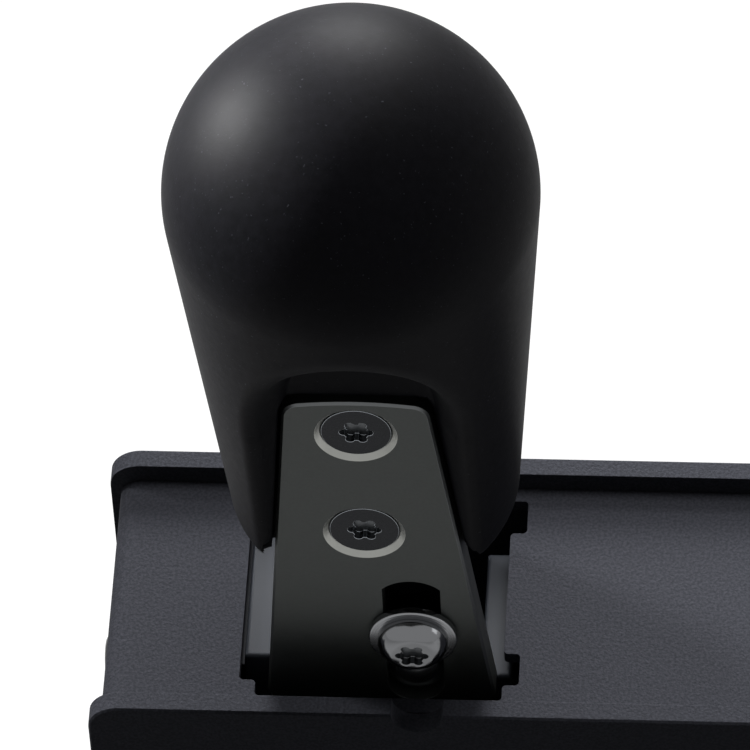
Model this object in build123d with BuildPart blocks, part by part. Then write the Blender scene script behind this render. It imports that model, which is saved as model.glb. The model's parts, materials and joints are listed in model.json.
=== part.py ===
from build123d import *
from math import cos, radians, sin, tan
import os


os.makedirs("parts", exist_ok=True)

# Sequential gear shifter: a box of two side plates and a bent cover, with a lever on ball
# bearings inside it, magnets on both sides of the lever, and a knob on a height plate.
# Millimetres. The origin is the centre of the base bolts, on the underside of the base.
# +X runs along the housing, +Y across it, away from the knob's open side, and +Z is up.

# Housing
housing_length = 150.0
housing_width = 44.6
side_thickness = 3.0
side_corner_radius = 4.5
side_rise = 3.2
rim_notch_radius = 3.5
rim_notch_offset = 5.7
cover_setback = 1.4
cover_thickness = 2.0
cover_bend_radius = 3.0
sheet_clearance = 0.1
base_thickness = 12.0
base_bolt_inset = 25.0
base_bolt_spacing_y = 24.0
base_bolt_radius = 2.5
base_screw_inset = 15.0
base_screw_count = 3
base_screw_margin = 0.75
edge_break = 0.3
overrun = 1.0

# Screws
m5_radius = 2.5
m5_head_radius = 4.65
m5_head_rim = 0.3
m5_socket_radius = 1.65
m5_lobe_radius = 0.6
m5_socket_depth = 1.6
m5_button_radius = 4.75
m5_button_height = 2.75
housing_screw_length = 12.0
m4_radius = 2.0
m4_head_radius = 3.8
m4_head_height = 2.2
m4_hex_across_corners = 2.9
m4_socket_depth = 1.3
cover_screw_length = 9.0
m3_radius = 1.5
m3_head_radius = 2.75
m3_head_height = 1.6
m3_hex_across_corners = 2.3
m3_socket_depth = 1.0
m6_radius = 3.0
button_edge_share = 0.2
button_flat_share = 0.6
button_bulge_share = 0.15
sink_angle = 90.0
lobe_count = 6
thread_clearance = 0.03
hole_clearance = 0.25
sink_clearance = 0.02

# Lever and its swing
lever_swing = 2.2
lever_top_width = 21.0
lever_waist_width = 16.0
lever_top_rise = 19.6
lever_shoulder_drop = 18.0
lever_shoulder_chamfer = 1.6
lever_corner_radius = 5.0
hub_radius = 15.0
hub_gap = 7.0

# Height plate of the lever
blade_thickness = 4.0
blade_low_width = 31.2
blade_high_width = 19.2
blade_high_rise = 61.6
blade_foot_drop = 13.0
blade_foot_width = 25.0
blade_widest_drop = 3.0
blade_low_offset = 0.3
blade_high_offset = -0.9
blade_corner_radius = 2.6
blade_arch = 0.9
blade_edge_break = 0.35
slot_width = 7.8
slot_top_rise = 22.7
slot_bottom_drop = 4.4
slot_arch = 1.85
slot_offset = 5.1
clamp_rise = 11.1
clamp_screw_length = 18.0
washer_radius = 6.0
washer_thickness = 1.2
pin_rise = 0.4
pin_clearance = 0.1
pin_shank_radius = 2.5
pin_shank_length = 10.0
pin_recess = 0.2

# Opening in the cover
blade_clearance = 0.4
notch_back_clearance = 0.9
notch_side_clearance = 0.6
lip_depth = 2.6
notch_step = 2.25
opening_margin = 2.3
rear_notch_depth = 5.5
opening_corner_radius = 0.6

# Knob
knob_dome_radius = 24.5
knob_taper = 4.8
knob_dome_rise = 90.7
knob_bottom_rise = 26.5
knob_bottom_radius = 5.0
knob_lean = 0.8
knob_axis_behind_blade = 12.0
knob_offset = -0.9
pocket_depth = 14.0
pocket_arch_drop = 32.7
pocket_inner_half_width = 10.0
pocket_inner_arch = 16.2
pocket_flare_width = 9.6
pocket_flare_arch = 9.5
pocket_side_taper = 4.5
pocket_offset = 0.2
blade_stand_out = 1.0
blade_seat_gap = 0.5
knob_screw_drop = 6.9
knob_screw_spacing = 21.3
knob_screw_offset = -1.0
knob_screw_length = 12.0
knob_sink_radius = 5.5
core_width = 14.0
core_depth = 9.0
core_head = 7.0
core_foot = 5.0
core_corner_radius = 2.0

# Bearings and shaft
shaft_radius = 5.0
bearing_outer_radius = 11.0
bearing_width = 6.0
inner_ring_radius = 6.6
outer_ring_bore = 9.4
ball_radius = 1.6
ball_count = 9
ball_play = 0.05
shield_thickness = 0.4
shield_inset = 0.2
shield_gap = 0.3
bearing_shoulder = 2.0
spacer_radius = 7.0

# Magnets and their carriers
magnet_radius = 8.0
magnet_thickness = 5.0
magnet_clearance = 0.05
magnet_gap = 5.0
carrier_travel = 4.0
carrier_thickness = 8.0
carrier_width = 26.0
carrier_height = 24.0
carrier_edge_radius = 2.0
carrier_play = 0.4
carrier_head_gap = 1.3
rod_radius = 2.0
rod_inset = 3.0
rod_seat = 8.0
rod_setback = 0.5
rod_clearance = 0.05
adjuster_length = 14.0
adjuster_pocket = 3.0
adjuster_clearance = 0.08
adjuster_tip_gap = 0.05
adjuster_hex_across_corners = 3.4
adjuster_socket_depth = 3.0
adjuster_hole_radius = 4.0

# Cross bars between the side plates
wall_thickness = 10.0
end_wall_thickness = 10.5
wall_head_gap = 0.2
arm_height = 13.5
right_arm_drop = 6.0
blade_relief = 0.6
high_screw_drop = 8.8
cover_screw_rise = 14.0
cover_screw_spacing = 10.0
end_bar_height = 12.0

# Rubber stop pads
stop_clearance = 0.2
pad_rear_gap = 0.1
pad_edge_gap = 0.4
pad_foot = 0.5
left_pad_drop = 1.1
right_pad_drop = 4.6
right_pad_reach = 0.9
pad_edge_radius = 0.6

# Sensor board
board_thickness = 1.6
board_height = 17.5
board_foot_gap = 1.5
board_head_gap = 2.0
board_left_reach = 15.0
board_right_gap = 0.6
board_standoff = 3.0
board_spacer_radius = 2.8
board_screw_inset = 3.4
board_screw_length = 7.0
sensor_drop = 6.0
sensor_gap = 1.3
sensor_magnet_radius = 3.0
sensor_magnet_thickness = 2.0
sensor_size = 3.0
sensor_thickness = 1.4
sensor_spacing = 6.0
controller_size = 7.0
controller_thickness = 1.0
controller_from_lever = 62.0
usb_width = 9.0
usb_depth = 3.3
usb_length = 9.0
usb_corner_radius = 1.5
usb_wall = 0.35
usb_tongue_depth = 0.7
usb_tongue_width = 6.7
usb_mouth_depth = 6.2
usb_clearance = 0.5

# Heights, stacked up from the base plate to the cover
pivot_height = base_thickness + hub_gap + hub_radius
board_bottom = pivot_height + spacer_radius + board_foot_gap
board_top = board_bottom + board_height
sensor_height = board_top - sensor_drop
wall_bottom = board_top + board_head_gap
low_screw_height = wall_bottom + end_bar_height / 2
magnet_height = wall_bottom + carrier_height / 2
cover_screw_height = magnet_height + cover_screw_rise
right_arm_top = magnet_height + carrier_height / 2 + carrier_head_gap + arm_height
wall_top = right_arm_top + right_arm_drop
high_screw_height = wall_top - high_screw_drop
cover_top = wall_top + wall_head_gap + cover_bend_radius
side_top = cover_top + side_rise

# Places worked out from the sizes
half_width = housing_width / 2
inner_half = half_width - side_thickness
bar_half = inner_half - sheet_clearance / 2
cover_half_length = housing_length / 2 - cover_setback
cover_inner = cover_half_length - cover_thickness
lever_half = lever_top_width / 2
waist_half = lever_waist_width / 2

carrier_face = waist_half + magnet_gap
carrier_back = carrier_face + carrier_thickness
wall_face = carrier_back + carrier_travel + carrier_play
wall_back = wall_face + wall_thickness
lever_x = wall_face + end_wall_thickness - cover_inner
left_wall_x = lever_x - wall_face - end_wall_thickness / 2
right_wall_x = lever_x + wall_face + wall_thickness / 2
end_bar_x = cover_inner - wall_thickness / 2

board_back = inner_half - board_standoff
board_front = board_back - board_thickness
opening_half_depth = inner_half - opening_margin
blade_front = lip_depth + blade_clearance - opening_half_depth
blade_back = blade_front + blade_thickness
lever_front = blade_back
lever_back = board_front - sensor_thickness - sensor_gap
lever_depth = lever_back - lever_front
lever_middle = (lever_front + lever_back) / 2
lever_top = cover_top + lever_top_rise
shoulder_z = cover_top - lever_shoulder_drop

swing_reach = (cover_top - pivot_height) * sin(radians(lever_swing))
notch_half = blade_low_width / 2 + swing_reach + notch_side_clearance
lip_half = notch_half - notch_step
front_notch_depth = blade_clearance + blade_thickness + notch_back_clearance
notch_front = lip_depth - opening_half_depth

slot_x = lever_x + slot_offset
clamp_z = cover_top + clamp_rise
pin_z = cover_top + pin_rise
pin_head_radius = slot_width / 2 - pin_clearance
washer_front = blade_front - washer_thickness
blade_high_z = cover_top + blade_high_rise
blade_widest_z = cover_top - blade_widest_drop
blade_foot_z = cover_top - blade_foot_drop
blade_low_x = lever_x + blade_low_offset
blade_high_x = lever_x + blade_high_offset
knob_x = lever_x + knob_offset
knob_y = blade_front + knob_axis_behind_blade
knob_dome_z = cover_top + knob_dome_rise
knob_bottom = cover_top + knob_bottom_rise
m5_sink_radius = m5_head_radius + m5_head_rim + sink_clearance
knob_screw_recess = knob_sink_radius - m5_sink_radius
upper_knob_screw_z = blade_high_z - knob_screw_drop
lower_knob_screw_z = upper_knob_screw_z - knob_screw_spacing
knob_screw_places = [
    (lever_x + knob_screw_offset + (upper_knob_screw_z - z) * tan(radians(knob_lean)), z)
    for z in (upper_knob_screw_z, lower_knob_screw_z)
]
core_top = upper_knob_screw_z + core_head
core_bottom = lower_knob_screw_z - core_foot

rod_places = [
    (y, magnet_height + carrier_height / 2 - rod_inset)
    for y in (rod_inset - carrier_width / 2, carrier_width / 2 - rod_inset)
]
pad_face = lever_half + swing_reach + stop_clearance
left_pad_back = notch_half - pad_edge_gap
right_pad_back = lip_half + right_pad_reach
pad_front = notch_front + front_notch_depth - pad_foot
pad_depth = opening_half_depth - rear_notch_depth - pad_rear_gap - pad_front

base_bolt_spacing_x = housing_length - 2 * base_bolt_inset
base_screw_spacing = (housing_length - 2 * base_screw_inset) / (base_screw_count - 1)
base_screw_height = m5_sink_radius + edge_break + base_screw_margin
base_screw_places = [
    (base_screw_spacing * i + base_screw_inset - housing_length / 2, base_screw_height)
    for i in range(base_screw_count)
]
side_screw_places = base_screw_places + [
    (left_wall_x, low_screw_height),
    (left_wall_x, high_screw_height),
    (right_wall_x, low_screw_height),
    (right_wall_x, high_screw_height),
    (end_bar_x, low_screw_height),
    (lever_x, pivot_height),
]

board_left = lever_x - board_left_reach
board_right = cover_inner - board_right_gap
board_screw_places = [
    (x, z)
    for x in (board_left + board_screw_inset, board_right - board_screw_inset - usb_length)
    for z in (board_bottom + board_screw_inset, board_top - board_screw_inset)
]
usb_z = board_bottom + board_height / 2
usb_y = board_front - usb_depth / 2


def across(y):
    """Plane that stands across the housing at y: its x is X and its y is Z."""
    return Plane.XZ.offset(-y)


def outward_front(x, z, y):
    """Plane at a point of a front face, looking out of it."""
    return Plane(origin=(x, y, z), x_dir=(1, 0, 0), z_dir=(0, -1, 0))


def outward_rear(x, z, y):
    """Plane at a point of a rear face, looking out of it."""
    return Plane(origin=(x, y, z), x_dir=(-1, 0, 0), z_dir=(0, 1, 0))


def lobed_socket(radius, lobe_radius):
    """Outline of a six-lobed screw socket."""
    with BuildSketch() as outline:
        Circle(radius)
        with PolarLocations(radius, lobe_count):
            Circle(lobe_radius)
    return outline.sketch


def countersunk_screw(length):
    """M5 countersunk screw with a lobed socket: the head's face at zero, pointing down."""
    with BuildPart() as screw:
        with BuildSketch(Plane.XZ):
            with BuildLine():
                Polyline(
                    (0, 0),
                    (m5_head_radius, 0),
                    (m5_head_radius, -m5_head_rim),
                    (m5_radius, -m5_head_rim - m5_head_radius + m5_radius),
                    (m5_radius, -length),
                    (0, -length),
                    close=True,
                )
            make_face()
        revolve(axis=Axis.Z)
        with BuildSketch():
            add(lobed_socket(m5_socket_radius, m5_lobe_radius))
        extrude(amount=-m5_socket_depth, mode=Mode.SUBTRACT)
    return screw.part


def hexagon_socket(across_corners):
    """Outline of a hexagon screw socket."""
    with BuildSketch() as outline:
        RegularPolygon(across_corners / 2, lobe_count)
    return outline.sketch


def button_screw(radius, head_radius, head_height, length, socket, socket_depth):
    """Button-head screw with a socket of one outline: the head's seat at zero, pointing down."""
    edge = head_height * button_edge_share
    flat = head_radius * button_flat_share
    with BuildPart() as screw:
        with BuildSketch(Plane.XZ):
            with BuildLine():
                Polyline(
                    (flat, head_height),
                    (0, head_height),
                    (0, -length),
                    (radius, -length),
                    (radius, 0),
                    (head_radius, 0),
                    (head_radius, edge),
                )
                SagittaArc(
                    (flat, head_height), (head_radius, edge), head_height * button_bulge_share
                )
            make_face()
        revolve(axis=Axis.Z)
        with BuildSketch(Plane.XY.offset(head_height)):
            add(socket)
        extrude(amount=-socket_depth, mode=Mode.SUBTRACT)
    return screw.part


def side_plate(outer_y, inward):
    """Side plate with countersunk holes: outer face at outer_y, thickness along inward."""
    face = outward_front if inward > 0 else outward_rear
    with BuildPart() as plate:
        with BuildSketch(across(outer_y)):
            with Locations((0, side_top / 2)):
                RectangleRounded(housing_length, side_top, side_corner_radius)
        extrude(amount=-inward * side_thickness)
        with Locations(*[face(x, z, outer_y) for x, z in side_screw_places]):
            CounterSinkHole(
                m5_radius + hole_clearance,
                m5_sink_radius,
                side_thickness + overrun,
                counter_sink_angle=sink_angle,
            )
        outer_edges = plate.faces().sort_by(Axis.Y)[0 if inward > 0 else -1].outer_wire().edges()
        chamfer(outer_edges, edge_break)
    return plate.part


def ring(y, outer_radius, inner_radius, length):
    """Ring about the pivot axis, from y towards the rear."""
    with BuildPart() as band:
        with BuildSketch(across(y)):
            with Locations((lever_x, pivot_height)):
                Circle(outer_radius)
                Circle(inner_radius, mode=Mode.SUBTRACT)
        extrude(amount=-length)
    return band.part


knob_screw = countersunk_screw(knob_screw_length)
housing_screw = countersunk_screw(housing_screw_length)
cover_screw = button_screw(
    m4_radius, m4_head_radius, m4_head_height, cover_screw_length,
    hexagon_socket(m4_hex_across_corners), m4_socket_depth,
)
board_screw = button_screw(
    m3_radius, m3_head_radius, m3_head_height, board_screw_length,
    hexagon_socket(m3_hex_across_corners), m3_socket_depth,
)

# Front side plate: the whole side of the housing, standing a little above the cover, with a
# round notch in its rim in front of the clamp screw
with BuildPart() as front_side_plate:
    add(side_plate(-half_width, 1))
    with BuildSketch(across(-half_width)):
        with Locations((lever_x + rim_notch_offset, side_top)):
            Circle(rim_notch_radius)
    extrude(amount=-side_thickness, mode=Mode.SUBTRACT)
front_side_plate.part.label = "front_side_plate"
export_step(front_side_plate.part, "parts/front_side_plate.step")

# Rear side plate: as the front one, with tapped holes for the sensor board
with BuildPart() as rear_side_plate:
    add(side_plate(half_width, -1))
    with BuildSketch(across(inner_half)):
        with Locations(*board_screw_places):
            Circle(m3_radius + thread_clearance)
    extrude(amount=-side_thickness, mode=Mode.SUBTRACT)
rear_side_plate.part.label = "rear_side_plate"
export_step(rear_side_plate.part, "parts/rear_side_plate.step")

# Top cover: one sheet, bent down at both ends, with the stepped opening for the lever
cover_bottom = base_thickness + sheet_clearance
with BuildPart() as top_cover:
    with BuildSketch(across(-bar_half)):
        with BuildLine():
            FilletPolyline(
                (-cover_half_length, cover_bottom),
                (-cover_half_length, cover_top),
                (cover_half_length, cover_top),
                (cover_half_length, cover_bottom),
                radius=cover_bend_radius,
            )
            FilletPolyline(
                (cover_inner, cover_bottom),
                (cover_inner, cover_top - cover_thickness),
                (-cover_inner, cover_top - cover_thickness),
                (-cover_inner, cover_bottom),
                radius=cover_bend_radius - cover_thickness,
            )
            Line((-cover_inner, cover_bottom), (-cover_half_length, cover_bottom))
            Line((cover_half_length, cover_bottom), (cover_inner, cover_bottom))
        make_face()
    extrude(amount=-2 * bar_half)
    with BuildSketch(Plane.XY.offset(cover_top + overrun)) as opening:
        with Locations((lever_x - lip_half, -opening_half_depth)):
            Rectangle(2 * lip_half, lip_depth, align=Align.MIN)
        with Locations((lever_x - notch_half, notch_front)):
            Rectangle(notch_half + lip_half, opening_half_depth - notch_front, align=Align.MIN)
        with Locations((lever_x, notch_front)):
            Rectangle(notch_half, front_notch_depth, align=Align.MIN)
        with Locations((lever_x, opening_half_depth - rear_notch_depth)):
            Rectangle(notch_half, rear_notch_depth, align=Align.MIN)
        fillet(opening.vertices(), opening_corner_radius)
    extrude(amount=-(cover_thickness + 2 * overrun), mode=Mode.SUBTRACT)
    with BuildSketch(Plane.YZ.offset(-cover_half_length)):
        with Locations(
            (-cover_screw_spacing / 2, cover_screw_height),
            (cover_screw_spacing / 2, cover_screw_height),
        ):
            Circle(m4_radius + hole_clearance)
        with Locations((0, magnet_height)):
            Circle(adjuster_hole_radius)
    extrude(amount=cover_thickness, mode=Mode.SUBTRACT)
    with BuildSketch(Plane.YZ.offset(cover_inner)):
        with Locations(
            (-cover_screw_spacing / 2, low_screw_height),
            (cover_screw_spacing / 2, low_screw_height),
        ):
            Circle(m4_radius + hole_clearance)
        with Locations((0, magnet_height)):
            Circle(adjuster_hole_radius)
        with Locations((usb_y, usb_z)):
            RectangleRounded(
                usb_depth + 2 * usb_clearance, usb_width + 2 * usb_clearance, usb_corner_radius
            )
    extrude(amount=cover_thickness, mode=Mode.SUBTRACT)
top_cover.part.label = "top_cover"
export_step(top_cover.part, "parts/top_cover.step")

# Base plate: thick plate between the side plates, tapped from below for the base bolts
with BuildPart() as base_plate:
    with BuildSketch():
        Rectangle(2 * cover_half_length, 2 * bar_half)
    extrude(amount=base_thickness)
    with GridLocations(base_bolt_spacing_x, base_bolt_spacing_y, 2, 2):
        Hole(base_bolt_radius)
    for plane_at, y in ((outward_front, -bar_half), (outward_rear, bar_half)):
        with Locations(*[plane_at(x, z, y) for x, z in base_screw_places]):
            Hole(m5_radius + thread_clearance, housing_screw_length)
base_plate.part.label = "base_plate"
export_step(base_plate.part, "parts/base_plate.step")


def cross_bar(outline, screw_places):
    """Cross bar of one outline, tapped at both ends for the housing screws."""
    with BuildPart() as bar:
        with BuildSketch(across(-bar_half)):
            add(outline)
        extrude(amount=-2 * bar_half)
        for plane_at, y in ((outward_front, -bar_half), (outward_rear, bar_half)):
            with Locations(*[plane_at(x, z, y) for x, z in screw_places]):
                Hole(m5_radius + thread_clearance, housing_screw_length)
    return bar.part


def bulkhead_outline(side, far_x, pad_back, arm_top):
    """Upright wall up to far_x with an arm towards the lever, on one side of the lever."""
    wall_x = lever_x + side * wall_face
    arm_x = lever_x + side * pad_back
    with BuildSketch() as outline:
        with Locations(((wall_x + far_x) / 2, (wall_bottom + wall_top) / 2)):
            Rectangle(abs(far_x - wall_x), wall_top - wall_bottom)
        with Locations(((arm_x + far_x) / 2, arm_top - arm_height / 2)):
            Rectangle(abs(far_x - arm_x), arm_height)
    return outline.sketch


def bulkhead(side, outline, screw_places):
    """Cross bar with the adjuster's thread, the rods' seats and room for the height plate."""
    with BuildPart() as bar:
        add(cross_bar(outline, screw_places))
        with BuildSketch(across(-bar_half)):
            with Locations((lever_x, wall_top - (wall_top - wall_bottom) / 2)):
                Rectangle(2 * (notch_half + blade_relief), wall_top - wall_bottom)
        extrude(amount=-(blade_back + blade_clearance + bar_half), mode=Mode.SUBTRACT)
        with BuildSketch(Plane.YZ.offset(lever_x + side * wall_face)):
            with Locations((0, magnet_height)):
                Circle(m6_radius + adjuster_clearance)
        extrude(amount=side * (wall_thickness + overrun), mode=Mode.SUBTRACT)
        with BuildSketch(Plane.YZ.offset(lever_x + side * wall_face)):
            with Locations(*rod_places):
                Circle(rod_radius + thread_clearance)
        extrude(amount=side * rod_seat, mode=Mode.SUBTRACT)
    return bar.part


# Left bulkhead: carries the left stop pad, the left magnet carrier and the cover's end
left_places = [(left_wall_x, low_screw_height), (left_wall_x, high_screw_height)]
left_outline = bulkhead_outline(-1, -cover_inner, left_pad_back, wall_top)
with BuildPart() as left_bulkhead:
    add(bulkhead(-1, left_outline, left_places))
    with BuildSketch(Plane.YZ.offset(-cover_inner)):
        with Locations(
            (-cover_screw_spacing / 2, cover_screw_height),
            (cover_screw_spacing / 2, cover_screw_height),
        ):
            Circle(m4_radius + thread_clearance)
    extrude(amount=cover_screw_length, mode=Mode.SUBTRACT)
left_bulkhead.part.label = "left_bulkhead"
export_step(left_bulkhead.part, "parts/left_bulkhead.step")

# Right bulkhead: carries the right stop pad and the right magnet carrier
right_places = [(right_wall_x, low_screw_height), (right_wall_x, high_screw_height)]
right_outline = bulkhead_outline(1, lever_x + wall_back, right_pad_back, right_arm_top)
with BuildPart() as right_bulkhead:
    add(bulkhead(1, right_outline, right_places))
right_bulkhead.part.label = "right_bulkhead"
export_step(right_bulkhead.part, "parts/right_bulkhead.step")

# End bar: holds the side plates apart at the far end, and the cover's other end
with BuildSketch() as end_outline:
    with Locations((end_bar_x, low_screw_height)):
        Rectangle(wall_thickness, end_bar_height)
with BuildPart() as end_bar:
    add(cross_bar(end_outline.sketch, [(end_bar_x, low_screw_height)]))
    with BuildSketch(Plane.YZ.offset(cover_inner)):
        with Locations(
            (-cover_screw_spacing / 2, low_screw_height),
            (cover_screw_spacing / 2, low_screw_height),
        ):
            Circle(m4_radius + thread_clearance)
    extrude(amount=-cover_screw_length, mode=Mode.SUBTRACT)
end_bar.part.label = "end_bar"
export_step(end_bar.part, "parts/end_bar.step")

# Housing screws: countersunk, through both side plates into the base, the bars and the shaft
with BuildPart() as housing_screws:
    with Locations(*[outward_front(x, z, -half_width) for x, z in side_screw_places]):
        add(housing_screw)
    with Locations(*[outward_rear(x, z, half_width) for x, z in side_screw_places]):
        add(housing_screw)
housing_screws.part.label = "housing_screws"
export_step(housing_screws.part, "parts/housing_screws.step")

# Cover screws: button heads at both ends of the cover
with BuildPart() as cover_screws:
    for y in (-cover_screw_spacing / 2, cover_screw_spacing / 2):
        left_seat = Plane(origin=(-cover_half_length, y, cover_screw_height), z_dir=(-1, 0, 0))
        right_seat = Plane(origin=(cover_half_length, y, low_screw_height), z_dir=(1, 0, 0))
        with Locations(left_seat, right_seat):
            add(cover_screw)
cover_screws.part.label = "cover_screws"
export_step(cover_screws.part, "parts/cover_screws.step")


def stop_pad(side, pad_back, pad_top, arm_top):
    """Rubber block on the end of a bulkhead's arm, facing the lever."""
    pad_bottom = arm_top - arm_height
    near = lever_x + side * (pad_face + pad_back) / 2
    with BuildPart() as pad:
        with BuildSketch(across(pad_front)):
            with Locations((near, (pad_bottom + pad_top) / 2)):
                Rectangle(pad_back - pad_face, pad_top - pad_bottom)
        extrude(amount=-pad_depth)
        fillet(pad.faces().sort_by(Axis.Z)[-1].edges(), pad_edge_radius)
    return pad.part


# Stop pads: rubber blocks that the lever meets at each end of its swing
with BuildPart() as left_stop_pad:
    add(stop_pad(-1, left_pad_back, cover_top - left_pad_drop, wall_top))
left_stop_pad.part.label = "left_stop_pad"
export_step(left_stop_pad.part, "parts/left_stop_pad.step")

with BuildPart() as right_stop_pad:
    add(stop_pad(1, right_pad_back, cover_top - right_pad_drop, right_arm_top))
right_stop_pad.part.label = "right_stop_pad"
export_step(right_stop_pad.part, "parts/right_stop_pad.step")

# Guide rods: two pressed into each bulkhead, for the magnet carriers to slide on
rod_length = rod_seat + wall_face - carrier_face - rod_setback
with BuildPart() as carrier_guide_rods:
    for side in (-1, 1):
        with BuildSketch(Plane.YZ.offset(lever_x + side * (wall_face + rod_seat))):
            with Locations(*rod_places):
                Circle(rod_radius)
        extrude(amount=-side * rod_length)
carrier_guide_rods.part.label = "carrier_guide_rods"
export_step(carrier_guide_rods.part, "parts/carrier_guide_rods.step")

# Pivot shaft: across the housing, tapped at both ends
with BuildPart() as pivot_shaft:
    add(ring(-bar_half, shaft_radius, m5_radius + thread_clearance, housing_screw_length))
    add(ring(bar_half - housing_screw_length, shaft_radius, m5_radius + thread_clearance,
             housing_screw_length))
    with BuildSketch(across(-bar_half + housing_screw_length)):
        with Locations((lever_x, pivot_height)):
            Circle(shaft_radius)
    extrude(amount=-2 * (bar_half - housing_screw_length))
pivot_shaft.part.label = "pivot_shaft"
export_step(pivot_shaft.part, "parts/pivot_shaft.step")

# Shaft spacers: tubes that centre the bearings between the side plates
spacer_bore = shaft_radius + thread_clearance
with BuildPart() as front_shaft_spacer:
    add(ring(-bar_half, spacer_radius, spacer_bore, lever_front + bar_half))
front_shaft_spacer.part.label = "front_shaft_spacer"
export_step(front_shaft_spacer.part, "parts/front_shaft_spacer.step")

with BuildPart() as rear_shaft_spacer:
    add(ring(lever_back, spacer_radius, spacer_bore, bar_half - lever_back))
rear_shaft_spacer.part.label = "rear_shaft_spacer"
export_step(rear_shaft_spacer.part, "parts/rear_shaft_spacer.step")

# Inner spacer: tube between the two bearings
with BuildPart() as inner_spacer:
    add(ring(lever_front + bearing_width, inner_ring_radius, spacer_bore,
             lever_depth - 2 * bearing_width))
inner_spacer.part.label = "inner_spacer"
export_step(inner_spacer.part, "parts/inner_spacer.step")

# Bearings: one at each side of the hub
bearing_fronts = (lever_front, lever_back - bearing_width)
ball_circle = (inner_ring_radius + outer_ring_bore) / 2
bearing_middles = [
    (lever_x, y + bearing_width / 2, pivot_height) for y in bearing_fronts
]

with BuildPart() as bearing_inner_rings:
    for y in bearing_fronts:
        add(ring(y, inner_ring_radius, shaft_radius + thread_clearance, bearing_width))
    with Locations(*bearing_middles):
        Torus(ball_circle, ball_radius + ball_play, rotation=(90, 0, 0), mode=Mode.SUBTRACT)
bearing_inner_rings.part.label = "bearing_inner_rings"
export_step(bearing_inner_rings.part, "parts/bearing_inner_rings.step")

with BuildPart() as bearing_outer_rings:
    for y in bearing_fronts:
        add(ring(y, bearing_outer_radius, outer_ring_bore, bearing_width))
    with Locations(*bearing_middles):
        Torus(ball_circle, ball_radius + ball_play, rotation=(90, 0, 0), mode=Mode.SUBTRACT)
bearing_outer_rings.part.label = "bearing_outer_rings"
export_step(bearing_outer_rings.part, "parts/bearing_outer_rings.step")

with BuildPart() as bearing_balls:
    for middle in bearing_middles:
        with Locations(Plane(origin=middle, x_dir=(1, 0, 0), z_dir=(0, -1, 0))):
            with PolarLocations(ball_circle, ball_count):
                Sphere(ball_radius)
bearing_balls.part.label = "bearing_balls"
export_step(bearing_balls.part, "parts/bearing_balls.step")

with BuildPart() as bearing_shields:
    for y in bearing_fronts:
        for inset in (shield_inset, bearing_width - shield_inset - shield_thickness):
            add(ring(y + inset, outer_ring_bore, inner_ring_radius + shield_gap,
                     shield_thickness))
bearing_shields.part.label = "bearing_shields"
export_step(bearing_shields.part, "parts/bearing_shields.step")

# Lower lever: hub, waist with the magnets, and the block that the height plate bolts to
with BuildPart() as lower_lever:
    with BuildSketch(across(lever_front)) as lever_outline:
        with Locations((lever_x, pivot_height)):
            Circle(hub_radius)
        with Locations((lever_x - waist_half, pivot_height)):
            Rectangle(lever_waist_width, shoulder_z - pivot_height, align=Align.MIN)
        with Locations((lever_x - lever_half, shoulder_z)):
            Rectangle(lever_top_width, lever_top - shoulder_z, align=Align.MIN)
        fillet(lever_outline.vertices().group_by(Axis.Y)[-1], lever_corner_radius)
    extrude(amount=-lever_depth)
    shoulder_edges = lower_lever.edges().filter_by(Axis.Y).filter_by_position(
        Axis.Z, shoulder_z - edge_break, shoulder_z + edge_break
    )
    chamfer(
        shoulder_edges.filter_by(lambda e: abs(e.center().X - lever_x) > waist_half + edge_break),
        lever_shoulder_chamfer,
    )
    with BuildSketch(across(lever_front)):
        with Locations((lever_x, pivot_height)):
            Circle(bearing_outer_radius)
    extrude(amount=-bearing_width, mode=Mode.SUBTRACT)
    with BuildSketch(across(lever_back - bearing_width)):
        with Locations((lever_x, pivot_height)):
            Circle(bearing_outer_radius)
    extrude(amount=-bearing_width, mode=Mode.SUBTRACT)
    with BuildSketch(across(lever_front + bearing_width)):
        with Locations((lever_x, pivot_height)):
            Circle(bearing_outer_radius - bearing_shoulder)
    extrude(amount=-(lever_depth - 2 * bearing_width), mode=Mode.SUBTRACT)
    for side in (-1, 1):
        with BuildSketch(Plane.YZ.offset(lever_x + side * waist_half)):
            with Locations((lever_middle, magnet_height)):
                Circle(magnet_radius + magnet_clearance)
        extrude(amount=-side * magnet_thickness, mode=Mode.SUBTRACT)
    with BuildSketch(across(lever_front)):
        with Locations((slot_x, clamp_z)):
            Circle(m5_radius + thread_clearance)
    extrude(amount=-(clamp_screw_length - washer_thickness - blade_thickness), mode=Mode.SUBTRACT)
    with BuildSketch(across(lever_front)):
        with Locations((slot_x, pin_z)):
            Circle(pin_shank_radius + thread_clearance)
    extrude(amount=-pin_shank_length, mode=Mode.SUBTRACT)
    with BuildSketch(across(lever_back)):
        with Locations((lever_x, sensor_height)):
            Circle(sensor_magnet_radius + magnet_clearance)
    extrude(amount=sensor_magnet_thickness, mode=Mode.SUBTRACT)
lower_lever.part.label = "lower_lever"
export_step(lower_lever.part, "parts/lower_lever.step")

# Lever magnets: two discs, flush in the lever's flanks
with BuildPart() as lever_magnets:
    for side in (-1, 1):
        with BuildSketch(Plane.YZ.offset(lever_x + side * waist_half)):
            with Locations((lever_middle, magnet_height)):
                Circle(magnet_radius)
        extrude(amount=-side * magnet_thickness)
lever_magnets.part.label = "lever_magnets"
export_step(lever_magnets.part, "parts/lever_magnets.step")

# Sensor magnet: small disc in the lever's rear face, in front of the sensors
with BuildPart() as sensor_magnet:
    with BuildSketch(across(lever_back)):
        with Locations((lever_x, sensor_height)):
            Circle(sensor_magnet_radius)
    extrude(amount=sensor_magnet_thickness)
sensor_magnet.part.label = "sensor_magnet"
export_step(sensor_magnet.part, "parts/sensor_magnet.step")

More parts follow.
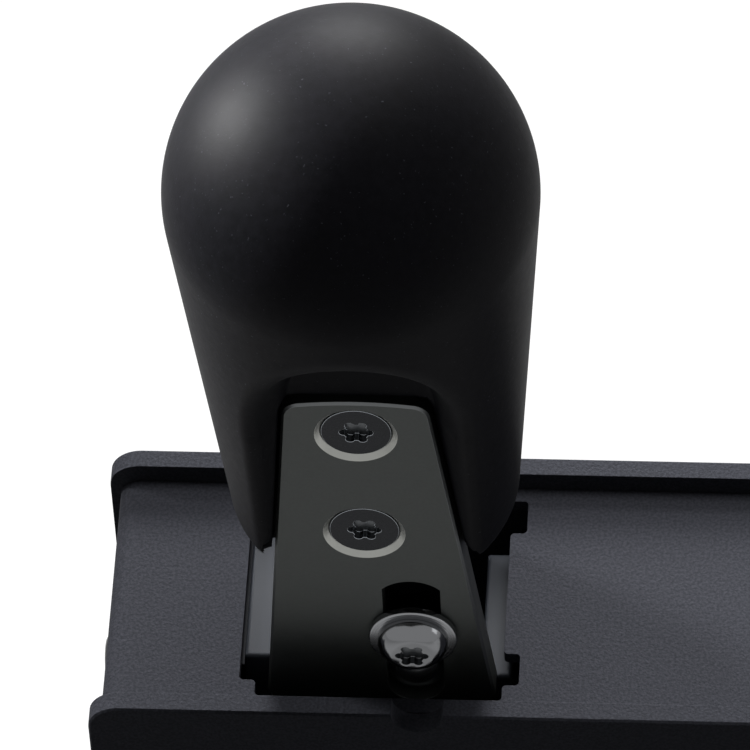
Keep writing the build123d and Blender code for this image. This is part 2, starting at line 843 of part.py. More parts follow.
# Clamp screw: button head, through the slot of the height plate into the lever
with BuildPart() as clamp_screw:
    with Locations(outward_front(slot_x, clamp_z, washer_front)):
        add(button_screw(
            m5_radius, m5_button_radius, m5_button_height, clamp_screw_length,
            lobed_socket(m5_socket_radius, m5_lobe_radius), m5_socket_depth,
        ))
clamp_screw.part.label = "clamp_screw"
export_step(clamp_screw.part, "parts/clamp_screw.step")

# Clamp washer: between the clamp screw's head and the height plate
with BuildPart() as clamp_washer:
    with BuildSketch(across(washer_front)):
        with Locations((slot_x, clamp_z)):
            Circle(washer_radius)
            Circle(m5_radius + hole_clearance, mode=Mode.SUBTRACT)
    extrude(amount=-washer_thickness)
    washer_rim = clamp_washer.faces().sort_by(Axis.Y)[0].outer_wire().edges()
    fillet(washer_rim, edge_break)
clamp_washer.part.label = "clamp_washer"
export_step(clamp_washer.part, "parts/clamp_washer.step")

# Clamp bush: ring round the clamp screw that fills the width of the slot
with BuildPart() as clamp_bush:
    with BuildSketch(across(blade_front + pin_recess)):
        with Locations((slot_x, clamp_z)):
            Circle(pin_head_radius)
            Circle(m5_radius + hole_clearance, mode=Mode.SUBTRACT)
    extrude(amount=-(blade_thickness - pin_recess))
    chamfer(clamp_bush.faces().sort_by(Axis.Y)[0].outer_wire().edges(), edge_break)
clamp_bush.part.label = "clamp_bush"
export_step(clamp_bush.part, "parts/clamp_bush.step")

# Guide pin: stepped steel pin that keeps the height plate upright in its slot
with BuildPart() as guide_pin:
    with BuildSketch(across(blade_front + pin_recess)):
        with Locations((slot_x, pin_z)):
            Circle(pin_head_radius)
    extrude(amount=-(blade_thickness - pin_recess))
    with BuildSketch(across(blade_back)):
        with Locations((slot_x, pin_z)):
            Circle(pin_shank_radius)
    extrude(amount=-pin_shank_length)
    chamfer(guide_pin.faces().sort_by(Axis.Y)[0].edges(), edge_break)
guide_pin.part.label = "guide_pin"
export_step(guide_pin.part, "parts/guide_pin.step")


def height_slot():
    """Outline of the height slot: round at the bottom, with a shallow arch at the top."""
    half = slot_width / 2
    low = cover_top - slot_bottom_drop + half
    high = cover_top + slot_top_rise - slot_arch
    with BuildSketch() as outline:
        with BuildLine():
            Line((half, low), (half, high))
            ThreePointArc((half, high), (0, high + slot_arch), (-half, high))
            Line((-half, high), (-half, low))
            ThreePointArc((-half, low), (0, low - half), (half, low))
        make_face()
    return outline.sketch


def blade_outline():
    """Outline of the height plate: tapered, with an arched top and rounded upper corners."""
    with BuildSketch() as outline:
        with BuildLine():
            Polyline(
                (blade_high_x - blade_high_width / 2, blade_high_z - blade_arch),
                (blade_low_x - blade_low_width / 2, blade_widest_z),
                (lever_x - blade_foot_width / 2, blade_foot_z),
                (lever_x + blade_foot_width / 2, blade_foot_z),
                (blade_low_x + blade_low_width / 2, blade_widest_z),
                (blade_high_x + blade_high_width / 2, blade_high_z - blade_arch),
            )
            ThreePointArc(
                (blade_high_x + blade_high_width / 2, blade_high_z - blade_arch),
                (blade_high_x, blade_high_z),
                (blade_high_x - blade_high_width / 2, blade_high_z - blade_arch),
            )
        make_face()
        fillet(outline.vertices().group_by(Axis.Y)[-1], blade_corner_radius)
    return outline.sketch


# Height plate: tapered steel plate with the height slot, countersunk for the knob screws
with BuildPart() as upper_lever_plate:
    with BuildSketch(across(blade_front)):
        add(blade_outline())
        with Locations((slot_x, 0)):
            add(height_slot(), mode=Mode.SUBTRACT)
    extrude(amount=-blade_thickness)
    front_edges = upper_lever_plate.faces().sort_by(Axis.Y)[0].outer_wire().edges()
    chamfer(front_edges, blade_edge_break)
    with Locations(*[outward_front(x, z, blade_front) for x, z in knob_screw_places]):
        CounterSinkHole(
            m5_radius + hole_clearance, knob_sink_radius,
            blade_thickness + overrun, counter_sink_angle=sink_angle,
        )
upper_lever_plate.part.label = "upper_lever_plate"
export_step(upper_lever_plate.part, "parts/upper_lever_plate.step")

# Knob screws: countersunk, through the height plate into the knob's core
with BuildPart() as knob_screws:
    with Locations(*[outward_front(x, z, blade_front + knob_screw_recess)
                     for x, z in knob_screw_places]):
        add(knob_screw)
knob_screws.part.label = "knob_screws"
export_step(knob_screws.part, "parts/knob_screws.step")

# Knob core: threaded metal block moulded into the knob, showing in its pocket and below it
with BuildPart() as knob_core:
    with BuildSketch(across(blade_back)):
        with Locations((knob_x, (core_bottom + core_top) / 2)):
            RectangleRounded(core_width, core_top - core_bottom, core_corner_radius)
    extrude(amount=-core_depth)
    core_block = knob_core.part
    with BuildSketch(across(blade_back)):
        with Locations(*knob_screw_places):
            Circle(m5_radius + thread_clearance)
    extrude(amount=-core_depth, mode=Mode.SUBTRACT)
knob_core.part.label = "knob_core"
export_step(knob_core.part, "parts/knob_core.step")

# Knob: a dome on a slim cone that leans a little. Its front is scooped out in an arch that flares
# from a flat floor, and the height plate is let into that floor.
tangent_x = knob_dome_radius * cos(radians(knob_taper))
tangent_z = -knob_dome_radius * sin(radians(knob_taper))
foot_drop = knob_dome_z - knob_bottom
foot_x = tangent_x - (tangent_z + foot_drop) * tan(radians(knob_taper))
lean_x = (cos(radians(knob_lean)), 0, sin(radians(knob_lean)))
dome_plane = Plane(origin=(knob_x, knob_y, knob_dome_z), x_dir=lean_x, z_dir=(0, -1, 0))
pocket_plane = Plane(
    origin=(knob_x, blade_front + blade_stand_out, knob_dome_z), x_dir=lean_x, z_dir=(0, -1, 0)
)
pocket_leg = foot_drop - pocket_arch_drop + knob_bottom_radius


def pocket_outline(half, arch):
    """Outline of the knob's pocket at one depth: half an ellipse on an open, widening foot."""
    foot_half = half + pocket_leg * tan(radians(pocket_side_taper))
    with BuildSketch() as outline:
        with BuildLine():
            EllipticalCenterArc((0, 0), half, arch, arc_size=180)
            Polyline((-half, 0), (-foot_half, -pocket_leg), (foot_half, -pocket_leg), (half, 0))
        make_face()
    return outline.sketch


with BuildPart() as knob:
    with BuildSketch(dome_plane) as profile:
        with BuildLine():
            CenterArc((0, 0), knob_dome_radius, -knob_taper, 90 + knob_taper)
            Polyline(
                (0, knob_dome_radius), (0, -foot_drop), (foot_x, -foot_drop), (tangent_x, tangent_z)
            )
        make_face()
        fillet(profile.vertices().group_by(Axis.Y)[0].sort_by(Axis.X)[-1], knob_bottom_radius)
    revolve(axis=Axis(dome_plane.origin, dome_plane.y_dir))
    for plane, half, arch in (
        (pocket_plane, pocket_inner_half_width, pocket_inner_arch),
        (
            pocket_plane.offset(pocket_depth),
            pocket_inner_half_width + pocket_flare_width, pocket_inner_arch + pocket_flare_arch,
        ),
    ):
        with BuildSketch(plane):
            with Locations((pocket_offset, -pocket_arch_drop)):
                add(pocket_outline(half, arch))
    loft(ruled=True, mode=Mode.SUBTRACT)
    with BuildSketch(across(blade_back)):
        add(blade_outline())
        offset(amount=blade_seat_gap, mode=Mode.REPLACE)
    extrude(amount=pocket_depth + blade_thickness, mode=Mode.SUBTRACT)
    add(core_block, mode=Mode.SUBTRACT)
knob.part.label = "knob"
export_step(knob.part, "parts/knob.step")

# Magnet carriers: blocks that slide on the guide rods, pushed in by their adjuster screws
for side, name in ((-1, "left"), (1, "right")):
    face_plane = Plane.YZ.offset(lever_x + side * carrier_face)
    back_plane = Plane.YZ.offset(lever_x + side * carrier_back)
    with BuildPart() as magnet_carrier:
        with BuildSketch(face_plane):
            with Locations((0, magnet_height)):
                RectangleRounded(carrier_width, carrier_height, carrier_edge_radius)
            with Locations(*rod_places):
                Circle(rod_radius + rod_clearance, mode=Mode.SUBTRACT)
        extrude(amount=side * carrier_thickness)
        with BuildSketch(face_plane):
            with Locations((0, magnet_height)):
                Circle(magnet_radius + magnet_clearance)
        extrude(amount=side * magnet_thickness, mode=Mode.SUBTRACT)
        with BuildSketch(back_plane):
            with Locations((0, magnet_height)):
                Circle(m6_radius + adjuster_clearance)
        extrude(amount=-side * adjuster_pocket, mode=Mode.SUBTRACT)
    magnet_carrier.part.label = name + "_magnet_carrier"
    export_step(magnet_carrier.part, "parts/" + name + "_magnet_carrier.step")

    with BuildPart() as carrier_magnet:
        with BuildSketch(face_plane):
            with Locations((0, magnet_height)):
                Circle(magnet_radius)
        extrude(amount=side * magnet_thickness)
    carrier_magnet.part.label = name + "_carrier_magnet"
    export_step(carrier_magnet.part, "parts/" + name + "_carrier_magnet.step")

    tip_x = carrier_back - adjuster_pocket + adjuster_tip_gap
    with BuildPart() as adjuster_screw:
        with BuildSketch(Plane.YZ.offset(lever_x + side * tip_x)):
            with Locations((0, magnet_height)):
                Circle(m6_radius)
        extrude(amount=side * adjuster_length)
        with BuildSketch(Plane.YZ.offset(lever_x + side * (tip_x + adjuster_length))):
            with Locations((0, magnet_height)):
                RegularPolygon(adjuster_hex_across_corners / 2, lobe_count)
        extrude(amount=-side * adjuster_socket_depth, mode=Mode.SUBTRACT)
    adjuster_screw.part.label = name + "_adjuster_screw"
    export_step(adjuster_screw.part, "parts/" + name + "_adjuster_screw.step")

# Sensor board: along the rear side plate, from behind the lever to the far end
with BuildPart() as sensor_board:
    with BuildSketch(across(board_front)):
        with Locations((board_left, board_bottom)):
            Rectangle(board_right - board_left, board_height, align=Align.MIN)
        with Locations(*board_screw_places):
            Circle(m3_radius + hole_clearance, mode=Mode.SUBTRACT)
    extrude(amount=-board_thickness)
sensor_board.part.label = "sensor_board"
export_step(sensor_board.part, "parts/sensor_board.step")

# Board spacers: short tubes between the board and the rear side plate
with BuildPart() as board_spacers:
    with BuildSketch(across(board_back)):
        with Locations(*board_screw_places):
            Circle(board_spacer_radius)
            Circle(m3_radius + hole_clearance, mode=Mode.SUBTRACT)
    extrude(amount=-board_standoff)
board_spacers.part.label = "board_spacers"
export_step(board_spacers.part, "parts/board_spacers.step")

# Board screws: through the board and its spacers into the rear side plate
with BuildPart() as board_screws:
    with Locations(*[outward_front(x, z, board_front) for x, z in board_screw_places]):
        add(board_screw)
board_screws.part.label = "board_screws"
export_step(board_screws.part, "parts/board_screws.step")

# Hall sensors: two chips behind the sensor magnet
with BuildPart() as hall_sensors:
    with BuildSketch(across(board_front)):
        with Locations((lever_x - sensor_spacing / 2, sensor_height),
                       (lever_x + sensor_spacing / 2, sensor_height)):
            Rectangle(sensor_size, sensor_size)
    extrude(amount=sensor_thickness)
hall_sensors.part.label = "hall_sensors"
export_step(hall_sensors.part, "parts/hall_sensors.step")

# Controller chip
with BuildPart() as controller_chip:
    with BuildSketch(across(board_front)):
        with Locations((lever_x + controller_from_lever, usb_z)):
            Rectangle(controller_size, controller_size)
    extrude(amount=controller_thickness)
controller_chip.part.label = "controller_chip"
export_step(controller_chip.part, "parts/controller_chip.step")

# Data socket: shell with its tongue, flush with the cover's far end
with BuildPart() as usb_socket:
    with BuildSketch(Plane.YZ.offset(cover_half_length)):
        with Locations((usb_y, usb_z)):
            RectangleRounded(usb_depth, usb_width, usb_corner_radius)
    extrude(amount=-usb_length)
    with BuildSketch(Plane.YZ.offset(cover_half_length)):
        with Locations((usb_y, usb_z)):
            RectangleRounded(
                usb_depth - 2 * usb_wall, usb_width - 2 * usb_wall, usb_corner_radius - usb_wall
            )
            Rectangle(usb_tongue_depth, usb_tongue_width, mode=Mode.SUBTRACT)
    extrude(amount=-usb_mouth_depth, mode=Mode.SUBTRACT)
usb_socket.part.label = "usb_socket"
export_step(usb_socket.part, "parts/usb_socket.step")
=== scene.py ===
"""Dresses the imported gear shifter: camera, studio, finishes and the detailed pieces.

The frame's own axes are used: +X along the housing, +Y away from the knob's open side and +Z up.
Sizes in the classes are millimetres, and meshes are turned to metres when they are made.
"""

import json
import logging
from dataclasses import dataclass, field
from enum import IntEnum
from functools import cache
from math import atan2, cos, hypot, pi, radians, sin, tan
from typing import Any

import bmesh
import bpy
import numpy as np
from mathutils import Matrix, Vector

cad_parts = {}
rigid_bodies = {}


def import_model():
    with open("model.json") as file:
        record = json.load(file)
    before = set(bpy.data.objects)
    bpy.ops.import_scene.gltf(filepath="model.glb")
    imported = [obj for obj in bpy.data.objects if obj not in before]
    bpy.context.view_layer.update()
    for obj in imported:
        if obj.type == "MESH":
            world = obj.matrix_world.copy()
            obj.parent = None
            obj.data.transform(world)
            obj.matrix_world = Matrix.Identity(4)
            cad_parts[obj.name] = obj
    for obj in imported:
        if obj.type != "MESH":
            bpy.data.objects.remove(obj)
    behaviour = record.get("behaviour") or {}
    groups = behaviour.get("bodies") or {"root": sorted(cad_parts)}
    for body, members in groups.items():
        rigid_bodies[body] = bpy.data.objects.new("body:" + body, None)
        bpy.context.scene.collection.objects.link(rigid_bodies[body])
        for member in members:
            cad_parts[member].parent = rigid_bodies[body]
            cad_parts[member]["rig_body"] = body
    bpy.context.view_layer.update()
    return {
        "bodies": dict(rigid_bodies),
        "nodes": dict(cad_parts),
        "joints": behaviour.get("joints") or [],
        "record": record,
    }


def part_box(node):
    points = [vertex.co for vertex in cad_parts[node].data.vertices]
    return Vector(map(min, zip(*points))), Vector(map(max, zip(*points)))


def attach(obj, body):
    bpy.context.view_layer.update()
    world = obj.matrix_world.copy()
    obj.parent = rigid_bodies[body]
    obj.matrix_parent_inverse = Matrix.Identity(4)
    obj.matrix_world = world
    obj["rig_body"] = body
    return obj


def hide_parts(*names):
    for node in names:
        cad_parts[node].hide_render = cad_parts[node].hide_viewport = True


log = logging.getLogger("shifter")

MM = 0.001
IMAGE_SIZE = 750
FULL_TURN = 2 * pi

# Detail of fine noise and of the soft patches in roughness, and the colour sockets of a mix.
NOISE_DETAIL = 2.0
PATCH_DETAIL = 3.0
MIX_FIRST, MIX_SECOND, MIX_RESULT = 6, 7, 2

# Points closer than this are one, edges sharper than this show, and screws face this way.
WELD = 0.002
SHARP_ANGLE = 30.0
FORWARD = (0, -1, 0)

Point2 = tuple[float, float]
Point3 = tuple[float, float, float]
Frame = dict[str, Any]
Piece = bpy.types.Object
Form = bmesh.types.BMesh
Tree = bpy.types.NodeTree
Node = bpy.types.Node
Socket = bpy.types.NodeSocket


def linear(hex_colour: str) -> tuple[float, float, float, float]:
    """Turns an sRGB hex colour to linear red, green, blue and an alpha of one.

    Args:
        hex_colour: The colour, such as "#3a3c3a".

    Returns:
        The linear colour, as a socket takes it.
    """
    channels = [int(hex_colour[i:i + 2], 16) / 255 for i in (1, 3, 5)]
    toned = [c / 12.92 if c <= 0.04045 else ((c + 0.055) / 1.055) ** 2.4 for c in channels]
    return (*toned, 1.0)


def add_node(
    tree: Tree,
    kind: str,
    settings: dict[str | int, Any] | None = None,
    links: dict[str | int, Socket] | None = None,
) -> Node:
    """Adds a node with its settings and links.

    Args:
        tree: The node tree that takes the node.
        kind: The node's type, such as "ShaderNodeBump".
        settings: Values of the node's own properties, or of its inputs by name or place.
        links: Sockets to join to its inputs, by the input's name or place.

    Returns:
        The new node.
    """
    node = tree.nodes.new(kind)
    for key, value in (settings or {}).items():
        if isinstance(key, str) and hasattr(node, key):
            setattr(node, key, value)
        else:
            node.inputs[key].default_value = value
    for key, socket in (links or {}).items():
        tree.links.new(socket, node.inputs[key])
    return node


class Surface(IntEnum):
    """Which of a piece's finishes a face takes."""

    BODY = 0
    RIM = 1
    CUT = 2


@dataclass(frozen=True)
class Grain:
    """One layer of relief: bumps of a real size and height."""

    size: float
    height: float
    stretch: Point3 = (1.0, 1.0, 1.0)


@dataclass(frozen=True)
class Mottle:
    """A second colour in soft patches or fine specks."""

    colour: str
    size: float
    share: float
    softness: float = 0.2


@dataclass(frozen=True)
class Finish:
    """A surface finish, made into one procedural material."""

    name: str
    colour: str
    roughness: float
    metallic: float = 0.0
    specular: float = 0.5
    coat: float = 0.0
    rough_spread: float = 0.04
    rough_size: float = 3.0
    grains: tuple[Grain, ...] = ()
    mottles: tuple[Mottle, ...] = ()

    def grain_value(self, tree: Tree, place: Socket, grain: Grain) -> Socket:
        """Adds the texture of one grain.

        Args:
            tree: The material's node tree.
            place: The socket with the place on the object, in metres.
            grain: The layer of relief.

        Returns:
            The socket that gives the texture's value.
        """
        if grain.stretch != (1.0, 1.0, 1.0):
            place = add_node(
                tree, "ShaderNodeVectorMath", {"operation": "MULTIPLY", 1: grain.stretch},
                {0: place},
            ).outputs[0]
        return add_node(
            tree, "ShaderNodeTexNoise", {"Scale": 1 / (grain.size * MM), "Detail": NOISE_DETAIL},
            {"Vector": place},
        ).outputs[0]

    def add_colour(self, tree: Tree, place: Socket) -> Socket | None:
        """Adds the patches and specks of other colours.

        Args:
            tree: The material's node tree.
            place: The socket with the place on the object, in metres.

        Returns:
            The colour's socket, or None where the colour is plain.
        """
        socket = None
        for mottle in self.mottles:
            value = add_node(
                tree, "ShaderNodeTexNoise",
                {"Scale": 1 / (mottle.size * MM), "Detail": NOISE_DETAIL}, {"Vector": place},
            ).outputs[0]
            edge = 0.5 + (0.5 - mottle.share) / 2
            share = add_node(
                tree, "ShaderNodeMapRange",
                {"From Min": edge - mottle.softness / 2, "From Max": edge + mottle.softness / 2},
                {"Value": value},
            ).outputs[0]
            links = {0: share}
            if socket is not None:
                links[MIX_FIRST] = socket
            colours = {MIX_FIRST: linear(self.colour), MIX_SECOND: linear(mottle.colour)}
            socket = add_node(
                tree, "ShaderNodeMix", {"data_type": "RGBA", **colours}, links
            ).outputs[MIX_RESULT]
        return socket

    def add_relief(self, tree: Tree, place: Socket) -> Socket | None:
        """Adds the layers of relief as bumps on each other.

        Args:
            tree: The material's node tree.
            place: The socket with the place on the object, in metres.

        Returns:
            The normal's socket, or None where the surface is smooth.
        """
        normal = None
        for grain in self.grains:
            links = {"Height": self.grain_value(tree, place, grain)}
            if normal is not None:
                links["Normal"] = normal
            normal = add_node(
                tree, "ShaderNodeBump", {"Strength": 1.0, "Distance": grain.height * MM}, links
            ).outputs[0]
        return normal

    def material(self) -> bpy.types.Material:
        """Builds the finish.

        Returns:
            Its material.
        """
        material = bpy.data.materials.new(self.name)
        material.use_nodes = True
        tree = material.node_tree
        shader = tree.nodes["Principled BSDF"]
        for key, value in (
            ("Base Color", linear(self.colour)),
            ("Roughness", self.roughness),
            ("Metallic", self.metallic),
            ("Specular IOR Level", self.specular),
            ("Coat Weight", self.coat),
        ):
            shader.inputs[key].default_value = value
        material.diffuse_color = linear(self.colour)
        material.metallic = self.metallic
        material.roughness = self.roughness
        place = add_node(tree, "ShaderNodeTexCoord").outputs["Object"]
        if (colour := self.add_colour(tree, place)) is not None:
            tree.links.new(colour, shader.inputs["Base Color"])
        if (normal := self.add_relief(tree, place)) is not None:
            tree.links.new(normal, shader.inputs["Normal"])
        patches = add_node(
            tree, "ShaderNodeTexNoise",
            {"Scale": 1 / (self.rough_size * MM), "Detail": PATCH_DETAIL}, {"Vector": place},
        )
        spread = add_node(
            tree, "ShaderNodeMapRange",
            {
                "To Min": max(self.roughness - self.rough_spread, 0.0),
                "To Max": min(self.roughness + self.rough_spread, 1.0),
            },
            {"Value": patches.outputs[0]},
        )
        tree.links.new(spread.outputs[0], shader.inputs["Roughness"])
        return material


@dataclass(frozen=True)
class TurnedFinish(Finish):
    """A metal face turned on a lathe: fine rings about an axis along Y."""

    centre: Point2 = (0.0, 0.0)
    ring_pitch: float = 0.35
    ring_height: float = 0.002

    def add_relief(self, tree: Tree, place: Socket) -> Socket | None:
        """Adds the rings over the other relief.

        Args:
            tree: The material's node tree.
            place: The socket with the place on the object, in metres.

        Returns:
            The normal's socket.
        """
        normal = super().add_relief(tree, place)
        x, z = self.centre
        centred = add_node(
            tree, "ShaderNodeVectorMath",
            {"operation": "SUBTRACT", 1: (x * MM, 0.0, z * MM)}, {0: place},
        ).outputs[0]
        flat = add_node(
            tree, "ShaderNodeVectorMath", {"operation": "MULTIPLY", 1: (1.0, 0.0, 1.0)},
            {0: centred},
        ).outputs[0]
        radius = add_node(
            tree, "ShaderNodeVectorMath", {"operation": "LENGTH"}, {0: flat}
        ).outputs["Value"]
        turns = add_node(
            tree, "ShaderNodeMath",
            {"operation": "MULTIPLY", 1: FULL_TURN / (self.ring_pitch * MM)}, {0: radius},
        ).outputs[0]
        wave = add_node(tree, "ShaderNodeMath", {"operation": "SINE"}, {0: turns}).outputs[0]
        links = {"Height": wave}
        if normal is not None:
            links["Normal"] = normal
        return add_node(
            tree, "ShaderNodeBump", {"Strength": 1.0, "Distance": self.ring_height * MM}, links
        ).outputs[0]


@dataclass(frozen=True)
class CircuitFinish(Finish):
    """Solder mask over copper: a raster of tracks shows through as paler lines."""

    track: str = "#26402f"
    track_pitch: float = 1.27
    track_share: float = 0.28
    tracks_to_cell: float = 5.0

    def add_colour(self, tree: Tree, place: Socket) -> Socket | None:
        """Adds the tracks, broken up by noise.

        Args:
            tree: The material's node tree.
            place: The socket with the place on the object, in metres.

        Returns:
            The colour's socket.
        """
        bent = add_node(
            tree, "ShaderNodeTexVoronoi",
            {
                "Scale": 1 / (self.track_pitch * self.tracks_to_cell * MM),
                "distance": "CHEBYCHEV", "Randomness": 1.0,
            },
            {"Vector": place},
        ).outputs["Distance"]
        rows = add_node(
            tree, "ShaderNodeMath", {"operation": "MULTIPLY", 1: self.tracks_to_cell}, {0: bent}
        ).outputs[0]
        saw = add_node(tree, "ShaderNodeMath", {"operation": "FRACT"}, {0: rows}).outputs[0]
        share = add_node(
            tree, "ShaderNodeMath", {"operation": "LESS_THAN", 1: self.track_share}, {0: saw}
        ).outputs[0]
        colours = {MIX_FIRST: linear(self.colour), MIX_SECOND: linear(self.track)}
        return add_node(
            tree, "ShaderNodeMix", {"data_type": "RGBA", **colours}, {0: share}
        ).outputs[MIX_RESULT]


# Fine-texture polyester powder coat on sheet steel: a satin black skin of melted beads, so it has
# an even orange-peel of under a millimetre and soft mottling.
POWDER_COAT = Finish(
    "powder_coat_fine_texture", "#313237", 0.65, specular=0.02, rough_spread=0.08, rough_size=0.7,
    grains=(Grain(0.6, 0.06), Grain(0.3, 0.035)),
    mottles=(Mottle("#3a3b41", 0.4, 0.5, 0.2),),
)

# Laser-cut steel plate, blasted and blackened by phosphating: dark satin grey metal, a fine even
# grain and hardly any colour.
BLACKENED_STEEL = Finish(
    "blackened_steel_blasted", "#3a3c3b", 0.44, metallic=1.0, rough_spread=0.05, rough_size=2.0,
    grains=(Grain(0.22, 0.006),),
    mottles=(Mottle("#373938", 0.5, 0.5, 0.5),),
)

# Paler steel for the plate's rounded edges that face up or to the right high on the plate: a
# painted highlight, the thin bright line where light catches them.
PAINTED_EDGE_HIGHLIGHT = Finish(
    "steel_edge_painted_highlight", "#5b5d5e", 0.4, metallic=1.0, grains=(Grain(0.5, 0.01),),
)

# Countersink cut after blackening: bare steel with the cutter's fine marks.
CUT_SINK = Finish(
    "bare_steel_countersunk", "#8f908c", 0.36, metallic=1.0, rough_spread=0.08, rough_size=1.0,
    grains=(Grain(0.3, 0.01),),
)

# Laser-sintered nylon, blasted and dyed black: near-black satin with a very fine grain and sparse
# paler specks. The grain is drawn at 0.3 mm, a little coarser than it is, so that it shows.
SINTERED_NYLON = Finish(
    "sintered_nylon_dyed", "#040406", 0.54, specular=0.03, rough_spread=0.05, rough_size=1.0,
    grains=(Grain(0.3, 0.014),),
    mottles=(Mottle("#09090c", 1.2, 0.5, 0.4), Mottle("#303136", 0.4, 0.04, 0.06)),
)

# Case-hardened steel screw with oiled black oxide: dark, half glossy metal.
BLACK_OXIDE = Finish(
    "black_oxide_oiled", "#1f2022", 0.27, metallic=1.0, rough_spread=0.06, rough_size=0.8,
    grains=(Grain(0.6, 0.006),),
)

# Pale steel on the rounded rims of the black oxide screws: partly wear, where the driver rubs the
# oxide off the socket's rim, and partly a painted highlight, a bright line round each head's edge
# where light catches it.
RIM_WEAR_AND_HIGHLIGHT = Finish(
    "black_oxide_rim_wear_and_painted_highlight", "#8d9196", 0.24, metallic=1.0, grains=(Grain(0.5, 0.008),),
)

# Wall and floor of a screw's six-lobed socket in one mid-grey metal: painted light on the black
# oxide screws, paler than the head so the socket reads lit, and painted shade on the bright clamp
# screw, darker than its head.
PAINTED_SOCKET_TONE = Finish(
    "socket_painted_light_and_shade", "#4e5052", 0.3, metallic=1.0, rough_spread=0.08, rough_size=0.5,
    grains=(Grain(0.3, 0.008),),
)

# Zinc-plated and polished steel: a cool grey metal with small sharp highlights.
BRIGHT_STEEL = Finish(
    "bright_zinc_polished", "#6a6b6d", 0.14, metallic=1.0, rough_spread=0.03, rough_size=1.5,
    grains=(Grain(0.8, 0.004),),
)

# Turned steel bush with black oxide under oil: nearly a mirror, but black.
OILED_BUSH = Finish(
    "black_oxide_turned", "#0c0c0d", 0.14, metallic=1.0, grains=(Grain(0.8, 0.003),),
)

# Bearing steel ground round: silver metal, a very fine sheen without any tint.
GROUND_STEEL = Finish(
    "bearing_steel_ground", "#b4b8bb", 0.2, metallic=1.0,
    grains=(Grain(0.35, 0.002, stretch=(1.0, 0.1, 1.0)),),
)

# Milled aluminium, anodised black and sealed: dark metal with a soft sheen and milling lines.
ANODISED = Finish(
    "aluminium_anodised_black", "#1b1c1f", 0.34, metallic=0.85, rough_spread=0.05,
    grains=(Grain(0.3, 0.003, stretch=(0.12, 1.0, 1.0)),),
)

# Milled aluminium left bare: pale soft metal with fine cutter lines.
PLAIN_ALUMINIUM = Finish(
    "aluminium_milled", "#c9cacb", 0.33, metallic=1.0,
    grains=(Grain(0.3, 0.004, stretch=(1.0, 0.15, 1.0)),),
)

# Sintered magnet with a nickel plate: bright, faintly warm metal.
NICKEL = Finish(
    "nickel_plate", "#bfbab0", 0.16, metallic=1.0, grains=(Grain(1.0, 0.003),),
)

# Moulded stop pad of firm polyurethane rubber: smooth, dull, a bluish dark grey.
RUBBER = Finish(
    "polyurethane_moulded", "#32353b", 0.5, specular=0.15, rough_spread=0.05, rough_size=4.0,
    grains=(Grain(0.8, 0.006),),
)

# Woven glass board with black solder mask: half glossy, with the tracks as paler lines.
CIRCUIT_BOARD = CircuitFinish(
    "solder_mask_black", "#101a14", 0.3, grains=(Grain(0.5, 0.003),),
)

# Moulded epoxy of a chip's body: matt black with a fine grain.
CHIP_EPOXY = Finish(
    "chip_epoxy_moulded", "#191919", 0.55, grains=(Grain(0.15, 0.004),),
)

# Turned nylon spacer: milky white, waxy.
NYLON = Finish(
    "nylon_turned", "#dcdad2", 0.42, grains=(Grain(0.4, 0.004),),
)


@cache
def material_of(finish: Finish) -> bpy.types.Material:
    """Gives a finish's material, made once."""
    return finish.material()


def linked(name: str, data: bpy.types.ID) -> Piece:
    """Puts data into the scene as a new object.

    Args:
        name: The object's name.
        data: Its mesh, lamp or camera.

    Returns:
        The object.
    """
    thing = bpy.data.objects.new(name, data)
    bpy.context.scene.collection.objects.link(thing)
    return thing


def mesh_object(name: str, form: Form, *finishes: Finish) -> Piece:
    """Turns a form in millimetres to an object in metres.

    Args:
        name: The object's name.
        form: The mesh, which is freed.
        *finishes: Its finishes, in the order of the faces' material numbers.

    Returns:
        The new object, linked to the scene.
    """
    form.transform(Matrix.Scale(MM, 4))
    mesh = bpy.data.meshes.new(name)
    form.to_mesh(mesh)
    form.free()
    for finish in finishes:
        mesh.materials.append(material_of(finish))
    return linked(name, mesh)


def applied(piece: Piece) -> Piece:
    """Applies a piece's modifiers to its mesh.

    Args:
        piece: The object.

    Returns:
        The same object, with the finished mesh and no modifiers.
    """
    graph = bpy.context.evaluated_depsgraph_get()
    finished = bpy.data.meshes.new_from_object(piece.evaluated_get(graph))
    piece.modifiers.clear()
    piece.data = finished
    return piece


def rimmed(piece: Piece, width: float, segments: int, angle: float, rim: Surface) -> Piece:
    """Rounds a piece's sharp edges.

    Args:
        piece: The object.
        width: The rounding's width in millimetres.
        segments: Faces across it.
        angle: The angle in degrees from which an edge counts as sharp.
        rim: Which finish the rounding takes.

    Returns:
        The same object, with the finished mesh.
    """
    bevel = piece.modifiers.new("rim", "BEVEL")
    bevel.width = width * MM
    bevel.segments = segments
    bevel.limit_method = "ANGLE"
    bevel.angle_limit = radians(angle)
    bevel.harden_normals = True
    if rim is not Surface.BODY:
        bevel.material = rim
    return applied(piece)


def shade(form: Form, sharp_angle: float) -> None:
    """Shades a form smooth, with sharp edges where its faces meet at more than an angle.

    Args:
        form: The mesh.
        sharp_angle: The angle in degrees.
    """
    for face in form.faces:
        face.smooth = True
    for edge in form.edges:
        edge.smooth = edge.calc_face_angle(0.0) < radians(sharp_angle)


def rounded(corners: list[Point2], radius: float, steps: int = 6) -> list[Point2]:
    """Rounds the inner corners of an open line.

    Args:
        corners: The line's points.
        radius: The radius at each corner, cut down where its runs are short.
        steps: Chords to an arc.

    Returns:
        The line with an arc in place of each inner corner.
    """
    line = [corners[0]]
    for before, here, after in zip(corners, corners[1:], corners[2:]):
        a = Vector(before) - Vector(here)
        b = Vector(after) - Vector(here)
        turn = a.angle(b)
        reach = min(radius / tan(turn / 2), a.length / 2, b.length / 2)
        start = Vector(here) + a.normalized() * reach
        end = Vector(here) + b.normalized() * reach
        for i in range(steps + 1):
            t = i / steps
            line.append(tuple(
                start * (1 - t) ** 2 + Vector(here) * 2 * t * (1 - t) + end * t ** 2
            ))
    return line + [corners[-1]]


